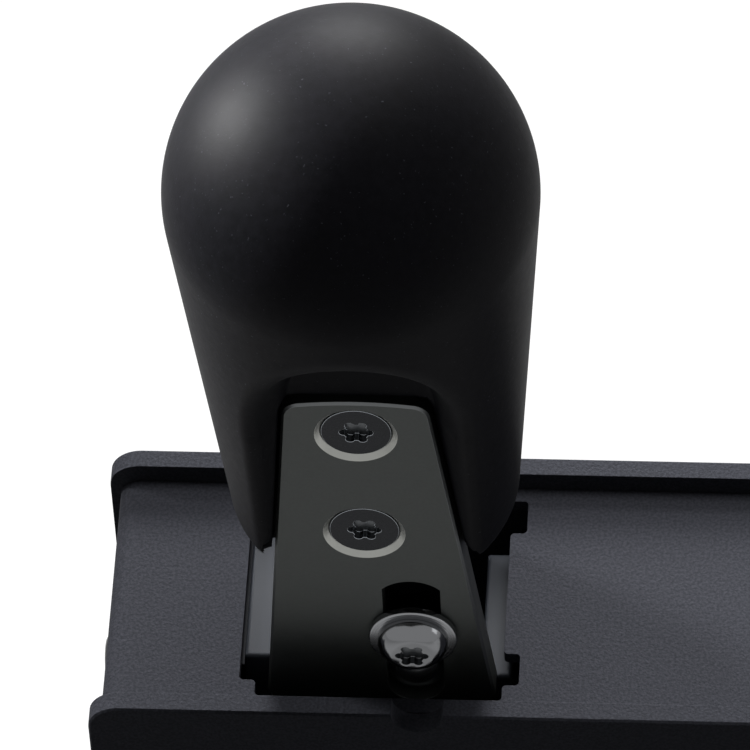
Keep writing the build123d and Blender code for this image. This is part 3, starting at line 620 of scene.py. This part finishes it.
def turned(profile: list[Point2], segments: int) -> Form:
    """Turns a profile about Z.

    Args:
        profile: (radius, height) points, from the top down.
        segments: Faces to a full turn.

    Returns:
        The closed form, where the profile starts and ends on the axis or meets itself.
    """
    form = bmesh.new()
    rings = []
    for radius, height in profile:
        if radius == 0:
            rings.append([form.verts.new((0, 0, height))])
        else:
            rings.append([
                form.verts.new((
                    radius * cos(FULL_TURN * i / segments),
                    radius * sin(FULL_TURN * i / segments),
                    height,
                ))
                for i in range(segments)
            ])
    for upper, lower in zip(rings, rings[1:]):
        for i in range(segments):
            j = (i + 1) % segments
            corners = [upper[i % len(upper)], lower[i % len(lower)],
                       lower[j % len(lower)], upper[j % len(upper)]]
            corners = list(dict.fromkeys(corners))
            form.faces.new(corners)
    bmesh.ops.recalc_face_normals(form, faces=form.faces)
    return form


def prism(outline: list[Point2], low: float, high: float, top: list[Point2] | None = None) -> Form:
    """Raises a closed outline along Z.

    Args:
        outline: The outline's points in XY.
        low: Height of its foot.
        high: Height of its top.
        top: The outline at the top, point for point, where it isn't the same.

    Returns:
        The closed form.
    """
    form = bmesh.new()
    foot = [form.verts.new((x, y, low)) for x, y in outline]
    head = [form.verts.new((x, y, high)) for x, y in top or outline]
    form.faces.new(foot)
    form.faces.new(head)
    for i, vertex in enumerate(foot):
        form.faces.new((foot[i - 1], vertex, head[i], head[i - 1]))
    bmesh.ops.recalc_face_normals(form, faces=form.faces)
    return form


def smooth_max(a: np.ndarray, b: np.ndarray, blend: float) -> np.ndarray:
    """Larger of two distances, rounded off where they are nearly alike."""
    return np.maximum(a, b) + np.maximum(blend - abs(a - b), 0.0) ** 2 / (4 * blend)


def corner_gap(u: np.ndarray, v: np.ndarray, radius: float) -> np.ndarray:
    """Measures points against the rounded corner between two faces.

    Args:
        u: Their distances from one face, negative inside.
        v: Their distances from the other face.
        radius: The corner's radius.

    Returns:
        Their distances from both faces and the corner.
    """
    u, v = u + radius, v + radius
    inside = np.minimum(np.maximum(u, v), 0.0)
    return np.hypot(np.maximum(u, 0.0), np.maximum(v, 0.0)) + inside - radius


def cut(piece: Piece, tool: Piece) -> Piece:
    """Cuts a tool's form out of a piece, and removes the tool.

    Args:
        piece: The object that is cut.
        tool: The object whose form is taken out.

    Returns:
        The cut piece.
    """
    modifier = piece.modifiers.new("cut", "BOOLEAN")
    modifier.operation = "DIFFERENCE"
    modifier.solver = "EXACT"
    modifier.object = tool
    applied(piece)
    bpy.data.objects.remove(tool)
    return piece


def joined(name: str, pieces: list[Piece]) -> Piece:
    """Joins pieces that share their materials into one.

    Args:
        name: The joined object's name.
        pieces: The pieces, which are removed.

    Returns:
        The joined object.
    """
    form = bmesh.new()
    for piece in pieces:
        form.from_mesh(piece.data)
    mesh = bpy.data.meshes.new(name)
    form.to_mesh(mesh)
    form.free()
    for material in pieces[0].data.materials:
        mesh.materials.append(material)
    for piece in pieces:
        bpy.data.objects.remove(piece)
    return linked(name, mesh)


def lobed_outline(radius: float, lobe_radius: float, steps: int = 14) -> list[Point2]:
    """Outline of a six-lobed screw socket.

    Args:
        radius: Radius of the round hole between the lobes, and of the lobes' centres.
        lobe_radius: Radius of a lobe.
        steps: Points to a lobe and the web next to it.

    Returns:
        The outline's points, in order.
    """
    lobes = 6
    points = []
    for i in range(lobes * steps):
        angle = FULL_TURN * i / (lobes * steps)
        off = (angle + pi / lobes) % (FULL_TURN / lobes) - pi / lobes
        inside = lobe_radius ** 2 - (radius * sin(off)) ** 2
        reach = max(radius, radius * cos(off) + inside ** 0.5) if inside > 0 else radius
        points.append((reach * cos(angle), reach * sin(angle)))
    return points


def stand(form: Form, foot: Point3, out: Point3) -> None:
    """Moves a form from the origin to its seat, with its Z along a direction.

    Args:
        form: The mesh, in millimetres.
        foot: Where its origin goes.
        out: The direction that its Z takes.
    """
    turn = Vector(out).to_track_quat("Z", "Y").to_matrix().to_4x4()
    form.transform(Matrix.Translation(foot) @ turn)


def box_of(node: str) -> tuple[Vector, Vector]:
    """Low and high corner of a node's box, in millimetres."""
    low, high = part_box(node)
    return low / MM, high / MM


def slots_of(frame: Frame) -> dict[str, str]:
    """Gives the material slot of every node."""
    return {part["node"]: part["material_slot"] for part in frame["record"]["subparts"]}


def finish_piece(piece: Piece, frame: Frame, node: str) -> Piece:
    """Lets a piece stand for a node: it rides on the node's body, and the node is hidden.

    Args:
        piece: The detailed piece.
        frame: The loaded frame.
        node: The node that it replaces.

    Returns:
        The piece.
    """
    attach(piece, frame["nodes"][node]["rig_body"])
    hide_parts(node)
    log.info("%s stands for %s", piece.name, node)
    return piece


@dataclass(frozen=True)
class SoftBox:
    """Square soft lamp that faces a point, with a grid that narrows its light."""

    name: str
    place: Point3
    size: float
    power: float
    aim: Point3 = (-20, 0, 120)
    spread: float = 180.0

    def build(self) -> None:
        """Adds the lamp to the scene."""
        data = bpy.data.lights.new(self.name, "AREA")
        data.shape = "SQUARE"
        data.size = self.size * MM
        data.energy = self.power
        data.spread = radians(self.spread)
        lamp = linked(self.name, data)
        lamp.location = Vector(self.place) * MM
        lamp.rotation_euler = (
            (Vector(self.aim) - Vector(self.place)).to_track_quat("-Z", "Y").to_euler()
        )


@dataclass
class Studio:
    """Camera, floor, world and lamps."""

    camera_place: Point3 = (37.715, -704.0, 1066.88)
    camera_aim: Point3 = (-0.0633, 0.6119, -0.7884)
    camera_roll: float = -3.49
    focal_pixels: float = 8657.0
    sensor: float = 36.0
    clip: Point2 = (0.05, 20.0)
    floor_size: float = 6000.0
    floor_bounce: str = "#767676"
    floor_paper: str = "#a8a8a8"
    floor_glow: float = 0.7
    fill: float = 0.05
    lamps: tuple[SoftBox, ...] = (
        SoftBox("overhead", (90, 340, 1130), 560, 7.0),
        SoftBox("behind", (-70, 800, 600), 600, 3.1, (-36, 0, 320), 34.0),
        SoftBox("left", (-783, 358, 542), 240, 4.2, (-36, 0, 365), 24.0),
        SoftBox("right", (900, 100, 420), 320, 0.6),
    )

    def add_camera(self) -> None:
        """Adds the camera at the photograph's viewing angle."""
        data = bpy.data.cameras.new("camera")
        data.sensor_width = self.sensor
        data.lens = self.focal_pixels * self.sensor / IMAGE_SIZE
        data.clip_start, data.clip_end = self.clip
        aim = Vector(self.camera_aim).normalized()
        right = aim.cross(Vector((0, 0, 1))).normalized()
        up = right.cross(aim)
        roll = radians(self.camera_roll)
        turned_right = cos(roll) * right + sin(roll) * up
        turned_up = -sin(roll) * right + cos(roll) * up
        camera = linked("camera", data)
        axes = Matrix((turned_right, turned_up, -aim)).transposed().to_4x4()
        camera.matrix_world = Matrix.Translation(Vector(self.camera_place) * MM) @ axes
        bpy.context.scene.camera = camera

    def seen_share(self, tree: Tree) -> Socket:
        """Adds the sum of camera, glossy and transmission rays, which see the white background.

        Args:
            tree: The node tree.

        Returns:
            The socket that is one for these rays.
        """
        path = add_node(tree, "ShaderNodeLightPath")
        seen = add_node(
            tree, "ShaderNodeMath", {"operation": "MAXIMUM"},
            {0: path.outputs["Is Camera Ray"], 1: path.outputs["Is Glossy Ray"]},
        ).outputs[0]
        return add_node(
            tree, "ShaderNodeMath", {"operation": "MAXIMUM"},
            {0: seen, 1: path.outputs["Is Transmission Ray"]},
        ).outputs[0]

    def show(self, tree: Tree, unseen: Node, seen: Node, output: str) -> None:
        """Gives what the camera and gloss see one shader, and all other light another.

        Args:
            tree: The node tree.
            unseen: The shader for light that is only scattered.
            seen: The shader that is looked at.
            output: The type of the output node.
        """
        mix = add_node(
            tree, "ShaderNodeMixShader", {},
            {0: self.seen_share(tree), 1: unseen.outputs[0], 2: seen.outputs[0]},
        )
        add_node(tree, output, {}, {"Surface": mix.outputs[0]})

    def add_world(self) -> None:
        """Adds a white background over a plain soft fill light."""
        world = bpy.data.worlds.new("world")
        bpy.context.scene.world = world
        world.use_nodes = True
        tree = world.node_tree
        tree.nodes.clear()
        fill = add_node(
            tree, "ShaderNodeBackground", {"Color": linear("#ffffff"), "Strength": self.fill}
        )
        white = add_node(
            tree, "ShaderNodeBackground", {"Color": linear("#ffffff"), "Strength": 1.0}
        )
        self.show(tree, fill, white, "ShaderNodeOutputWorld")

    def add_floor(self) -> None:
        """Adds a pale floor that shows white and keeps the object's shadow."""
        half = self.floor_size / 2
        form = bmesh.new()
        corners = [(-half, -half, 0), (half, -half, 0), (half, half, 0), (-half, half, 0)]
        form.faces.new([form.verts.new(corner) for corner in corners])
        floor = mesh_object("floor", form)
        material = bpy.data.materials.new("studio_floor")
        material.use_nodes = True
        tree = material.node_tree
        tree.nodes.clear()
        bounce = add_node(tree, "ShaderNodeBsdfDiffuse", {"Color": linear(self.floor_bounce)})
        paper = add_node(tree, "ShaderNodeBsdfDiffuse", {"Color": linear(self.floor_paper)})
        glow = add_node(
            tree, "ShaderNodeEmission", {"Color": linear("#ffffff"), "Strength": self.floor_glow}
        )
        both = add_node(
            tree, "ShaderNodeAddShader", {}, {0: paper.outputs[0], 1: glow.outputs[0]}
        )
        self.show(tree, bounce, both, "ShaderNodeOutputMaterial")
        floor.data.materials.append(material)

    def build(self) -> None:
        """Builds the whole studio."""
        self.add_camera()
        self.add_world()
        self.add_floor()
        for lamp in self.lamps:
            lamp.build()
        bpy.context.scene.view_settings.view_transform = "Standard"


@dataclass
class Refined:
    """A node's own form with rounded edges, which catch the light as real ones do."""

    frame: Frame
    node: str
    finish: Finish
    edge: Finish | None = None
    radius: float = 0.3
    sharp_angle: float = SHARP_ANGLE
    flat_angle: float = 0.4
    segments: int = 3

    def build(self) -> Piece:
        """Copies the node's mesh, joins its flat faces and rounds its edges.

        Returns:
            The piece, which replaces the node.
        """
        form = bmesh.new()
        form.from_mesh(self.frame["nodes"][self.node].data)
        form.transform(Matrix.Scale(1 / MM, 4))
        bmesh.ops.remove_doubles(form, verts=form.verts, dist=WELD)
        bmesh.ops.dissolve_limit(
            form, angle_limit=radians(self.flat_angle), verts=form.verts, edges=form.edges
        )
        for face in form.faces:
            face.material_index = Surface.BODY
        shade(form, self.sharp_angle)
        finishes = (self.finish,) if self.edge is None else (self.finish, self.edge)
        piece = mesh_object(self.node + "_finished", form, *finishes)
        if "custom_normal" in piece.data.attributes:
            piece.data.attributes.remove(piece.data.attributes["custom_normal"])
        rim = Surface.BODY if self.edge is None else Surface.RIM
        rimmed(piece, self.radius, self.segments, self.sharp_angle, rim)
        return finish_piece(piece, self.frame, self.node)


@dataclass
class Knob:
    """Domed knob whose front is scooped out round the height plate.

    It is built about the middle of its dome, along its own axis, and then leaned a little.
    A rough form is cut and remeshed, and its points are then drawn onto the exact surface.
    """

    frame: Frame
    dome_radius: float = 24.5
    taper: float = 4.8
    lean: float = 0.8
    foot_drop: float = 64.2
    foot_radius: float = 4.2
    pocket_shift: float = 0.2
    pocket_depth: float = 14.0
    pocket_arch_drop: float = 32.7
    pocket_half: float = 10.0
    pocket_arch: float = 16.2
    flare_half: float = 9.6
    flare_arch: float = 9.5
    side_taper: float = 4.5
    plate_stand_out: float = 1.0
    plate_top_half: float = 9.6
    plate_top_shift: float = 0.0
    plate_low_half: float = 15.6
    plate_low_shift: float = 1.2
    plate_taper_drop: float = 64.6
    plate_gap: float = 0.4
    plate_corner: float = 2.6
    rim_blend: float = 2.2
    seat_blend: float = 0.4
    voxel: float = 0.4
    smoothings: int = 4
    slope_step: float = 0.02
    least_slope: float = 0.2
    finish: Finish = SINTERED_NYLON
    segments: int = 160
    dome_steps: int = 48
    arch_steps: int = 64
    centre: Vector = field(init=False)
    plate_box: tuple[Vector, Vector] = field(init=False)

    def __post_init__(self) -> None:
        """Takes the knob's place from the frame."""
        low, high = box_of("knob")
        middle = (low + high) / 2
        self.centre = Vector((middle.x, middle.y, high.z - self.dome_radius))
        self.plate_box = box_of("upper_lever_plate")

    def profile(self) -> list[Point2]:
        """Profile from the top of the dome down to the middle of the bottom.

        Returns:
            (radius, height) points about the dome's middle.
        """
        taper = radians(self.taper)
        dome = [
            (self.dome_radius * sin(a), self.dome_radius * cos(a))
            for a in np.linspace(0, pi / 2 + taper, self.dome_steps)
        ]
        foot = self.dome_radius / cos(taper) - self.foot_drop * tan(taper)
        return dome + [(foot, -self.foot_drop), (0, -self.foot_drop)]

    def pocket_outline(self, share: float) -> list[Point2]:
        """Outline of the scoop: half an ellipse on a widening foot.

        Args:
            share: How far forward it is taken, as a share of the scoop's depth.

        Returns:
            The outline's points in XZ about the dome's middle.
        """
        half = self.pocket_half + self.flare_half * share
        arch = self.pocket_arch + self.flare_arch * share
        leg = self.foot_drop - self.pocket_arch_drop + self.foot_radius
        foot = half + leg * tan(radians(self.side_taper))
        low = -self.pocket_arch_drop - leg
        return [(self.pocket_shift + foot, low)] + [
            (self.pocket_shift + half * cos(a), arch * sin(a) - self.pocket_arch_drop)
            for a in np.linspace(0, pi, self.arch_steps)
        ] + [(self.pocket_shift - foot, low)]

    def skin_gap(self, points: np.ndarray) -> np.ndarray:
        """Measures points against the turned outer skin.

        Args:
            points: The points about the dome's middle.

        Returns:
            Their distances, negative inside the skin.
        """
        taper = radians(self.taper)
        radius, height = np.hypot(points[:, 0], points[:, 1]), points[:, 2]
        dome = np.linalg.norm(points, axis=1) - self.dome_radius
        side = radius * cos(taper) - self.dome_radius - height * sin(taper)
        body = np.where(height > -radius * tan(taper), dome, side)
        return corner_gap(body, -height - self.foot_drop, self.foot_radius)

    def pocket_gap(self, points: np.ndarray) -> np.ndarray:
        """Measures points against the scoop.

        Args:
            points: The points about the dome's middle.

        Returns:
            Their distances, negative inside the scoop.
        """
        depth = self.plate_box[0].y + self.plate_stand_out - self.centre.y - points[:, 1]
        share = depth / self.pocket_depth
        least_half, least_reach, least_pull = 1.0, 0.1, 0.001
        half = np.maximum(self.pocket_half + self.flare_half * share, least_half)
        arch = np.maximum(self.pocket_arch + self.flare_arch * share, least_half)
        x, z = abs(points[:, 0] - self.pocket_shift), points[:, 2] + self.pocket_arch_drop
        rise = np.maximum(z, 0.0)
        reach = np.maximum(np.hypot(x / half, rise / arch), least_reach)
        pull = np.maximum(np.hypot(x / half ** 2, rise / arch ** 2), least_pull)
        oval = (reach - 1) * reach / pull
        straight = x - half + z * tan(radians(self.side_taper))
        slope = cos(atan2(self.flare_half, self.pocket_depth))
        return np.maximum(np.where(z > 0, oval, straight) * slope, -depth)

    def seat_gap(self, places: np.ndarray) -> np.ndarray:
        """Measures points against the plate's seat.

        Args:
            places: The points in the frame's own axes.

        Returns:
            Their distances, negative inside the seat.
        """
        drop = self.plate_box[1].z - places[:, 2]
        share = drop / self.plate_taper_drop
        middle = (
            self.centre.x + self.plate_top_shift
            + (self.plate_low_shift - self.plate_top_shift) * share
        )
        half = self.plate_top_half + (self.plate_low_half - self.plate_top_half) * share
        side = abs(places[:, 0] - middle) - half - self.plate_gap
        outline = corner_gap(side, -drop - self.plate_gap, self.plate_corner)
        return np.maximum(outline, places[:, 1] - self.plate_box[1].y)

    def surface_gap(self, points: np.ndarray) -> np.ndarray:
        """Measures points against the finished knob.

        Args:
            points: The points about the dome's middle.

        Returns:
            Their distances, negative inside the knob.
        """
        turn = np.array(Matrix.Rotation(-radians(self.lean), 3, "Y"))
        places = points @ turn.T + np.array(self.centre)
        shell = smooth_max(self.skin_gap(points), -self.pocket_gap(points), self.rim_blend)
        return smooth_max(shell, -self.seat_gap(places), self.seat_blend)

    def drawn_on(self, points: np.ndarray, rounds: int = 12) -> np.ndarray:
        """Draws points near the surface onto it, along its steepest slope.

        Args:
            points: The points, in millimetres about the dome's middle.
            rounds: How often they are moved.

        Returns:
            The points on the surface.
        """
        step = self.slope_step
        for _ in range(rounds):
            gap = self.surface_gap(points)
            slope = np.stack([
                (self.surface_gap(points + step * axis) - gap) / step for axis in np.eye(3)
            ], axis=1)
            steepness = np.maximum((slope ** 2).sum(axis=1), self.least_slope)
            move = np.clip(gap / steepness, -self.voxel, self.voxel)
            points = points - slope * move[:, None]
        return points

    def carve(
        self, piece: Piece, outline: list[Point2], back: float,
        top: list[Point2] | None = None,
    ) -> None:
        """Cuts an outline in XZ into the front of the knob.

        Args:
            piece: The rough knob.
            outline: The outline at the back of the cut.
            back: How far forward of the dome's middle the back lies.
            top: The outline at the front, where it isn't the same.
        """
        form = prism(outline, back, back + self.pocket_depth, top)
        form.transform(Matrix.Rotation(pi / 2, 4, "X"))
        cut(piece, mesh_object("knob_cut", form))

    def build(self) -> Piece:
        """Turns the dome, cuts the scoop and the plate's seat, and draws it smooth.

        Returns:
            The knob.
        """
        piece = mesh_object("knob_finished", turned(self.profile(), self.segments), self.finish)
        floor = self.centre.y - self.plate_box[0].y - self.plate_stand_out
        self.carve(piece, self.pocket_outline(0.0), floor, self.pocket_outline(1.0))
        top = self.plate_box[1].z - self.centre.z + self.plate_gap
        low = -self.foot_drop - self.foot_radius
        upper, lower = self.plate_top_half, self.plate_low_half
        seat = [(-upper, top), (-lower, low), (lower, low), (upper, top)]
        self.carve(piece, seat, self.centre.y - self.plate_box[1].y)
        remesh = piece.modifiers.new("skin", "REMESH")
        remesh.mode = "VOXEL"
        remesh.voxel_size = self.voxel * MM
        remesh.use_smooth_shade = True
        smooth = piece.modifiers.new("soften", "SMOOTH")
        smooth.iterations = self.smoothings
        applied(piece)
        points = np.empty(3 * len(piece.data.vertices))
        piece.data.vertices.foreach_get("co", points)
        points = self.drawn_on(points.reshape(-1, 3) / MM)
        piece.data.vertices.foreach_set("co", (points * MM).ravel())
        piece.data.transform(
            Matrix.Translation(self.centre * MM) @ Matrix.Rotation(-radians(self.lean), 4, "Y")
        )
        piece.data.materials.clear()
        piece.data.materials.append(material_of(self.finish))
        return finish_piece(piece, self.frame, "knob")


@dataclass
class ScrewHead:
    """Shape of a screw: its head's profile and its socket."""

    head: list[Point2]
    shank_radius: float
    length: float
    socket_radius: float = 1.65
    lobe_radius: float = 0.6
    socket_depth: float = 1.2
    thread_pitch: float = 0.8
    thread_depth: float = 0.35
    rim_width: float = 0.18
    rim_segments: int = 2
    rim_angle: float = 40.0
    segments: int = 72

    def thread(self, start: float) -> list[Point2]:
        """Profile of the shank, with its thread as ridges.

        Args:
            start: Height at which the shank starts, below the head.

        Returns:
            (radius, height) points down to the tip's middle.
        """
        count = int((start + self.length) / self.thread_pitch)
        points = [(self.shank_radius, start)]
        for i in range(count):
            z = start - (i + 0.5) * self.thread_pitch
            points += [(self.shank_radius - self.thread_depth, z),
                       (self.shank_radius, z - self.thread_pitch / 2)]
        tip = self.shank_radius - self.thread_depth
        return points + [(tip, -self.length), (0, -self.length)]

    def build(self, name: str, foot: Point3, out: Point3, *finishes: Finish) -> Piece:
        """Builds the screw at its seat.

        Args:
            name: The object's name.
            foot: The place of its seat.
            out: The direction that its head faces.
            *finishes: Its finish, that of its rounded rims, and that of its socket.

        Returns:
            The screw.
        """
        top = self.head[0][1]
        form = turned(self.head + self.thread(self.head[-1][1]), self.segments)
        stand(form, foot, out)
        screw = mesh_object(name, form, *finishes)
        form = prism(
            lobed_outline(self.socket_radius, self.lobe_radius), top - self.socket_depth, top + 1
        )
        for face in form.faces:
            face.material_index = Surface.CUT
        stand(form, foot, out)
        cut(screw, mesh_object(name + "_socket", form, finishes[Surface.BODY]))
        form = bmesh.new()
        form.from_mesh(screw.data)
        bmesh.ops.remove_doubles(form, verts=form.verts, dist=WELD * MM)
        shade(form, SHARP_ANGLE)
        form.to_mesh(screw.data)
        form.free()
        return rimmed(screw, self.rim_width, self.rim_segments, self.rim_angle, Surface.RIM)


@dataclass
class HeightPlate:
    """The plate with its slot, the knob's screws, and the clamp screw on its washer."""

    frame: Frame
    screw_head_radius: float = 4.65
    screw_head_rim: float = 0.3
    sink_radius: float = 5.6
    plate_edge: float = 0.06
    plate_edge_segments: int = 2
    slanted: Point2 = (0.25, 0.97)
    # Slope and height above which the plate's bevels take the painted highlight.
    highlight_slope: float = 0.3
    highlight_above: float = 136.0
    screw_radius: float = 2.5
    button_radius: float = 4.75
    button_height: float = 2.75
    button_flat: float = 2.85
    button_edge: float = 0.55
    button_bulge: float = 0.8
    washer_radius: float = 6.0
    washer_bore: float = 2.75
    ring_rim: float = 0.25
    bush_radius: float = 3.8
    plate_depth: float = 4.0
    pin_recess: float = 0.2
    pin_crown: float = 1.3
    pin_crown_share: float = 0.95
    pin_chamfer: float = 0.3
    play: float = 0.02
    arc_steps: int = 12
    ring_segments: int = 128
    pin_segments: int = 96

    def build_plate(self) -> None:
        """Rounds the plate's edges, paints a highlight in paler steel on the bevels that face up
        or to the right high on the plate, gives the countersinks bare steel, and keeps it a hair
        off the lever.
        """
        plate = Refined(
            self.frame, "upper_lever_plate", BLACKENED_STEEL, radius=self.plate_edge,
            segments=self.plate_edge_segments,
        ).build()
        plate.data.transform(Matrix.Translation((0, -self.play * MM, 0)))
        for finish in (PAINTED_EDGE_HIGHLIGHT, CUT_SINK):
            plate.data.materials.append(material_of(finish))
        screws = self.knob_screw_places()
        for face in plate.data.polygons:
            x, _, z = face.center / MM
            near = min(hypot(x - sx, z - sz) for sx, sz in screws)
            if not self.slanted[0] < -face.normal.y < self.slanted[1]:
                continue
            if near < self.sink_radius:
                face.material_index = Surface.CUT
            # Bevels that face up or to the right, high on the plate, take the paler steel: a
            # painted highlight.
            elif max(face.normal.x, face.normal.z) > self.highlight_slope and z > self.highlight_above:
                face.material_index = Surface.RIM

    def knob_screw_places(self) -> list[Point2]:
        """Finds the knob's screws.

        Returns:
            Their places in X and Z, the upper one first.
        """
        low, high = box_of("knob_screws")
        radius = self.screw_head_radius
        return [(low.x + radius, high.z - radius), (high.x - radius, low.z + radius)]

    def build_knob_screws(self) -> None:
        """Builds the two countersunk screws that hold the knob."""
        low, high = box_of("knob_screws")
        head = [
            (0, 0), (self.screw_head_radius, 0), (self.screw_head_radius, -self.screw_head_rim),
            (self.screw_radius, -self.screw_head_rim - self.screw_head_radius + self.screw_radius),
        ]
        shape = ScrewHead(head, self.screw_radius, high.y - low.y)
        # The socket's paler grey is painted light; the rims are partly wear and partly a painted
        # highlight.
        finishes = (BLACK_OXIDE, RIM_WEAR_AND_HIGHLIGHT, PAINTED_SOCKET_TONE)
        screws = [
            shape.build(f"knob_screw_{i}", (x, low.y, z), FORWARD, *finishes)
            for i, (x, z) in enumerate(self.knob_screw_places())
        ]
        finish_piece(joined("knob_screws_finished", screws), self.frame, "knob_screws")

    def ring(self, node: str, radius: float, bore: float, finish: Finish) -> None:
        """Builds a flat ring with rounded edges in place of a node.

        Args:
            node: The node, whose box gives the ring's place and depth.
            radius: Its outer radius.
            bore: The radius of its hole.
            finish: Its finish.
        """
        low, high = box_of(node)
        depth, foot = high.y - low.y, 2 * self.play
        profile = rounded([
            (bore, depth / 2), (bore, depth), (radius, depth), (radius, foot), (bore, foot),
            (bore, depth / 2),
        ], self.ring_rim)
        form = turned(profile, self.ring_segments)
        bmesh.ops.remove_doubles(form, verts=form.verts, dist=WELD)
        bmesh.ops.recalc_face_normals(form, faces=form.faces)
        stand(form, (low.x + radius, high.y, low.z + radius), FORWARD)
        shade(form, SHARP_ANGLE)
        finish_piece(mesh_object(node + "_finished", form, finish), self.frame, node)

    def build_clamp_screw(self) -> None:
        """Builds the button-head screw that clamps the plate to the lever."""
        low, high = box_of("clamp_screw")
        seat = low.y + self.button_height
        flat = Vector((self.button_flat, self.button_height))
        brim = Vector((self.button_radius, self.button_edge))
        bulge = (flat + brim) / 2 + Vector((1, 1)).normalized() * self.button_bulge
        dome = [
            tuple(flat * (1 - t) ** 2 + bulge * 2 * t * (1 - t) + brim * t ** 2)
            for t in np.linspace(0, 1, self.arc_steps)
        ]
        head = [(0, self.button_height)] + dome + [(self.button_radius, 0), (self.screw_radius, 0)]
        shape = ScrewHead(head, self.screw_radius, high.y - seat)
        # The socket's darker grey inside the bright head is painted shade.
        screw = shape.build(
            "clamp_screw_finished", (low.x + self.button_radius, seat, low.z + self.button_radius),
            FORWARD, BRIGHT_STEEL, BRIGHT_STEEL, PAINTED_SOCKET_TONE,
        )
        finish_piece(screw, self.frame, "clamp_screw")

    def build_pin(self) -> None:
        """Builds the guide pin, with its crowned front end."""
        low, high = box_of("guide_pin")
        radius = (high.x - low.x) / 2
        depth = high.y - low.y
        seat = self.plate_depth - self.pin_recess
        profile = [
            (radius * t, depth - self.pin_crown * t * t)
            for t in np.linspace(0, self.pin_crown_share, self.arc_steps)
        ] + [
            (radius, depth - self.pin_crown - self.pin_chamfer), (radius, depth - seat),
            (self.screw_radius, depth - seat), (self.screw_radius, 0), (0, 0),
        ]
        form = turned(profile, self.pin_segments)
        x, z = low.x + radius, low.z + radius
        stand(form, (x, high.y, z), FORWARD)
        shade(form, SHARP_ANGLE)
        finish = TurnedFinish("pin_steel_turned", "#86888a", 0.24, metallic=1.0, centre=(x, z))
        finish_piece(mesh_object("guide_pin_finished", form, finish), self.frame, "guide_pin")

    def build_clamp(self) -> None:
        """Builds the clamp screw with its washer and bush, and the guide pin below it."""
        low, high = box_of("clamp_washer")
        middle = (low + high) / 2
        turned_steel = TurnedFinish(
            "washer_steel_turned", "#7c7d7f", 0.22, metallic=1.0, centre=(middle.x, middle.z)
        )
        self.ring("clamp_washer", self.washer_radius, self.washer_bore, turned_steel)
        self.ring("clamp_bush", self.bush_radius, self.washer_bore, OILED_BUSH)
        self.build_clamp_screw()
        self.build_pin()

    def build(self) -> None:
        """Builds the plate and everything on it."""
        self.build_plate()
        self.build_knob_screws()
        self.build_clamp()


@dataclass
class Housing:
    """Side plates, cover and the parts that hold them."""

    frame: Frame
    sheet_edge: float = 0.35
    pad_edge: float = 0.3
    pad_sharp_angle: float = 50.0
    bar_edge: float = 0.25
    screw_edge: float = 0.1
    screw_edge_segments: int = 2
    coated: tuple[str, ...] = ("front_side_plate", "rear_side_plate", "top_cover", "base_plate")
    pads: tuple[str, ...] = ("left_stop_pad", "right_stop_pad")
    milled: tuple[str, ...] = ("left_bulkhead", "right_bulkhead", "end_bar")
    screws: tuple[str, ...] = ("housing_screws", "cover_screws")

    def build(self) -> None:
        """Builds the coated sheets, the milled bars, the pads and the screws."""
        for node in self.coated:
            Refined(self.frame, node, POWDER_COAT, radius=self.sheet_edge).build()
        for node in self.pads:
            Refined(
                self.frame, node, RUBBER, radius=self.pad_edge, sharp_angle=self.pad_sharp_angle
            ).build()
        for node in self.milled:
            Refined(self.frame, node, ANODISED, radius=self.bar_edge).build()
        for node in self.screws:
            # The screws' rims take pale steel: partly wear and partly a painted highlight.
            Refined(
                self.frame, node, BLACK_OXIDE, RIM_WEAR_AND_HIGHLIGHT, radius=self.screw_edge,
                segments=self.screw_edge_segments,
            ).build()


@dataclass
class Mechanism:
    """The lever, its bearings, the magnets and the electronics: the frame's forms, dressed."""

    frame: Frame
    lever_edge: float = 0.3
    finishes: dict[str, Finish] = field(default_factory=lambda: {
        "powder_coated_steel": POWDER_COAT,
        "blackened_steel_plate": BLACKENED_STEEL,
        "matt_black_grip": SINTERED_NYLON,
        "black_oxide_screw": BLACK_OXIDE,
        "bright_steel": BRIGHT_STEEL,
        "ground_steel": GROUND_STEEL,
        "anodised_aluminium": ANODISED,
        "plain_aluminium": PLAIN_ALUMINIUM,
        "nickel_magnet": NICKEL,
        "stop_rubber": RUBBER,
        "circuit_board": CIRCUIT_BOARD,
        "chip_plastic": CHIP_EPOXY,
        "spacer_nylon": NYLON,
    })

    def dress(self) -> None:
        """Gives every node the finish of its slot."""
        for node, slot in slots_of(self.frame).items():
            for place in self.frame["nodes"][node].material_slots:
                place.material = material_of(self.finishes[slot])
        log.info("dressed %d nodes", len(self.frame["nodes"]))

    def build(self) -> None:
        """Dresses the nodes and rounds the lever's edges."""
        self.dress()
        Refined(self.frame, "lower_lever", ANODISED, radius=self.lever_edge).build()


def main(frame: Frame) -> None:
    """Builds the sub-assemblies in order.

    Args:
        frame: The loaded frame.
    """
    Studio().build()
    Mechanism(frame).build()
    Housing(frame).build()
    HeightPlate(frame).build()
    Knob(frame).build()


if __name__ == "__main__":
    logging.basicConfig(level=logging.INFO, format="%(name)s: %(message)s")
    for leftover in list(bpy.data.objects):
        bpy.data.objects.remove(leftover)
    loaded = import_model()
    main(loaded)
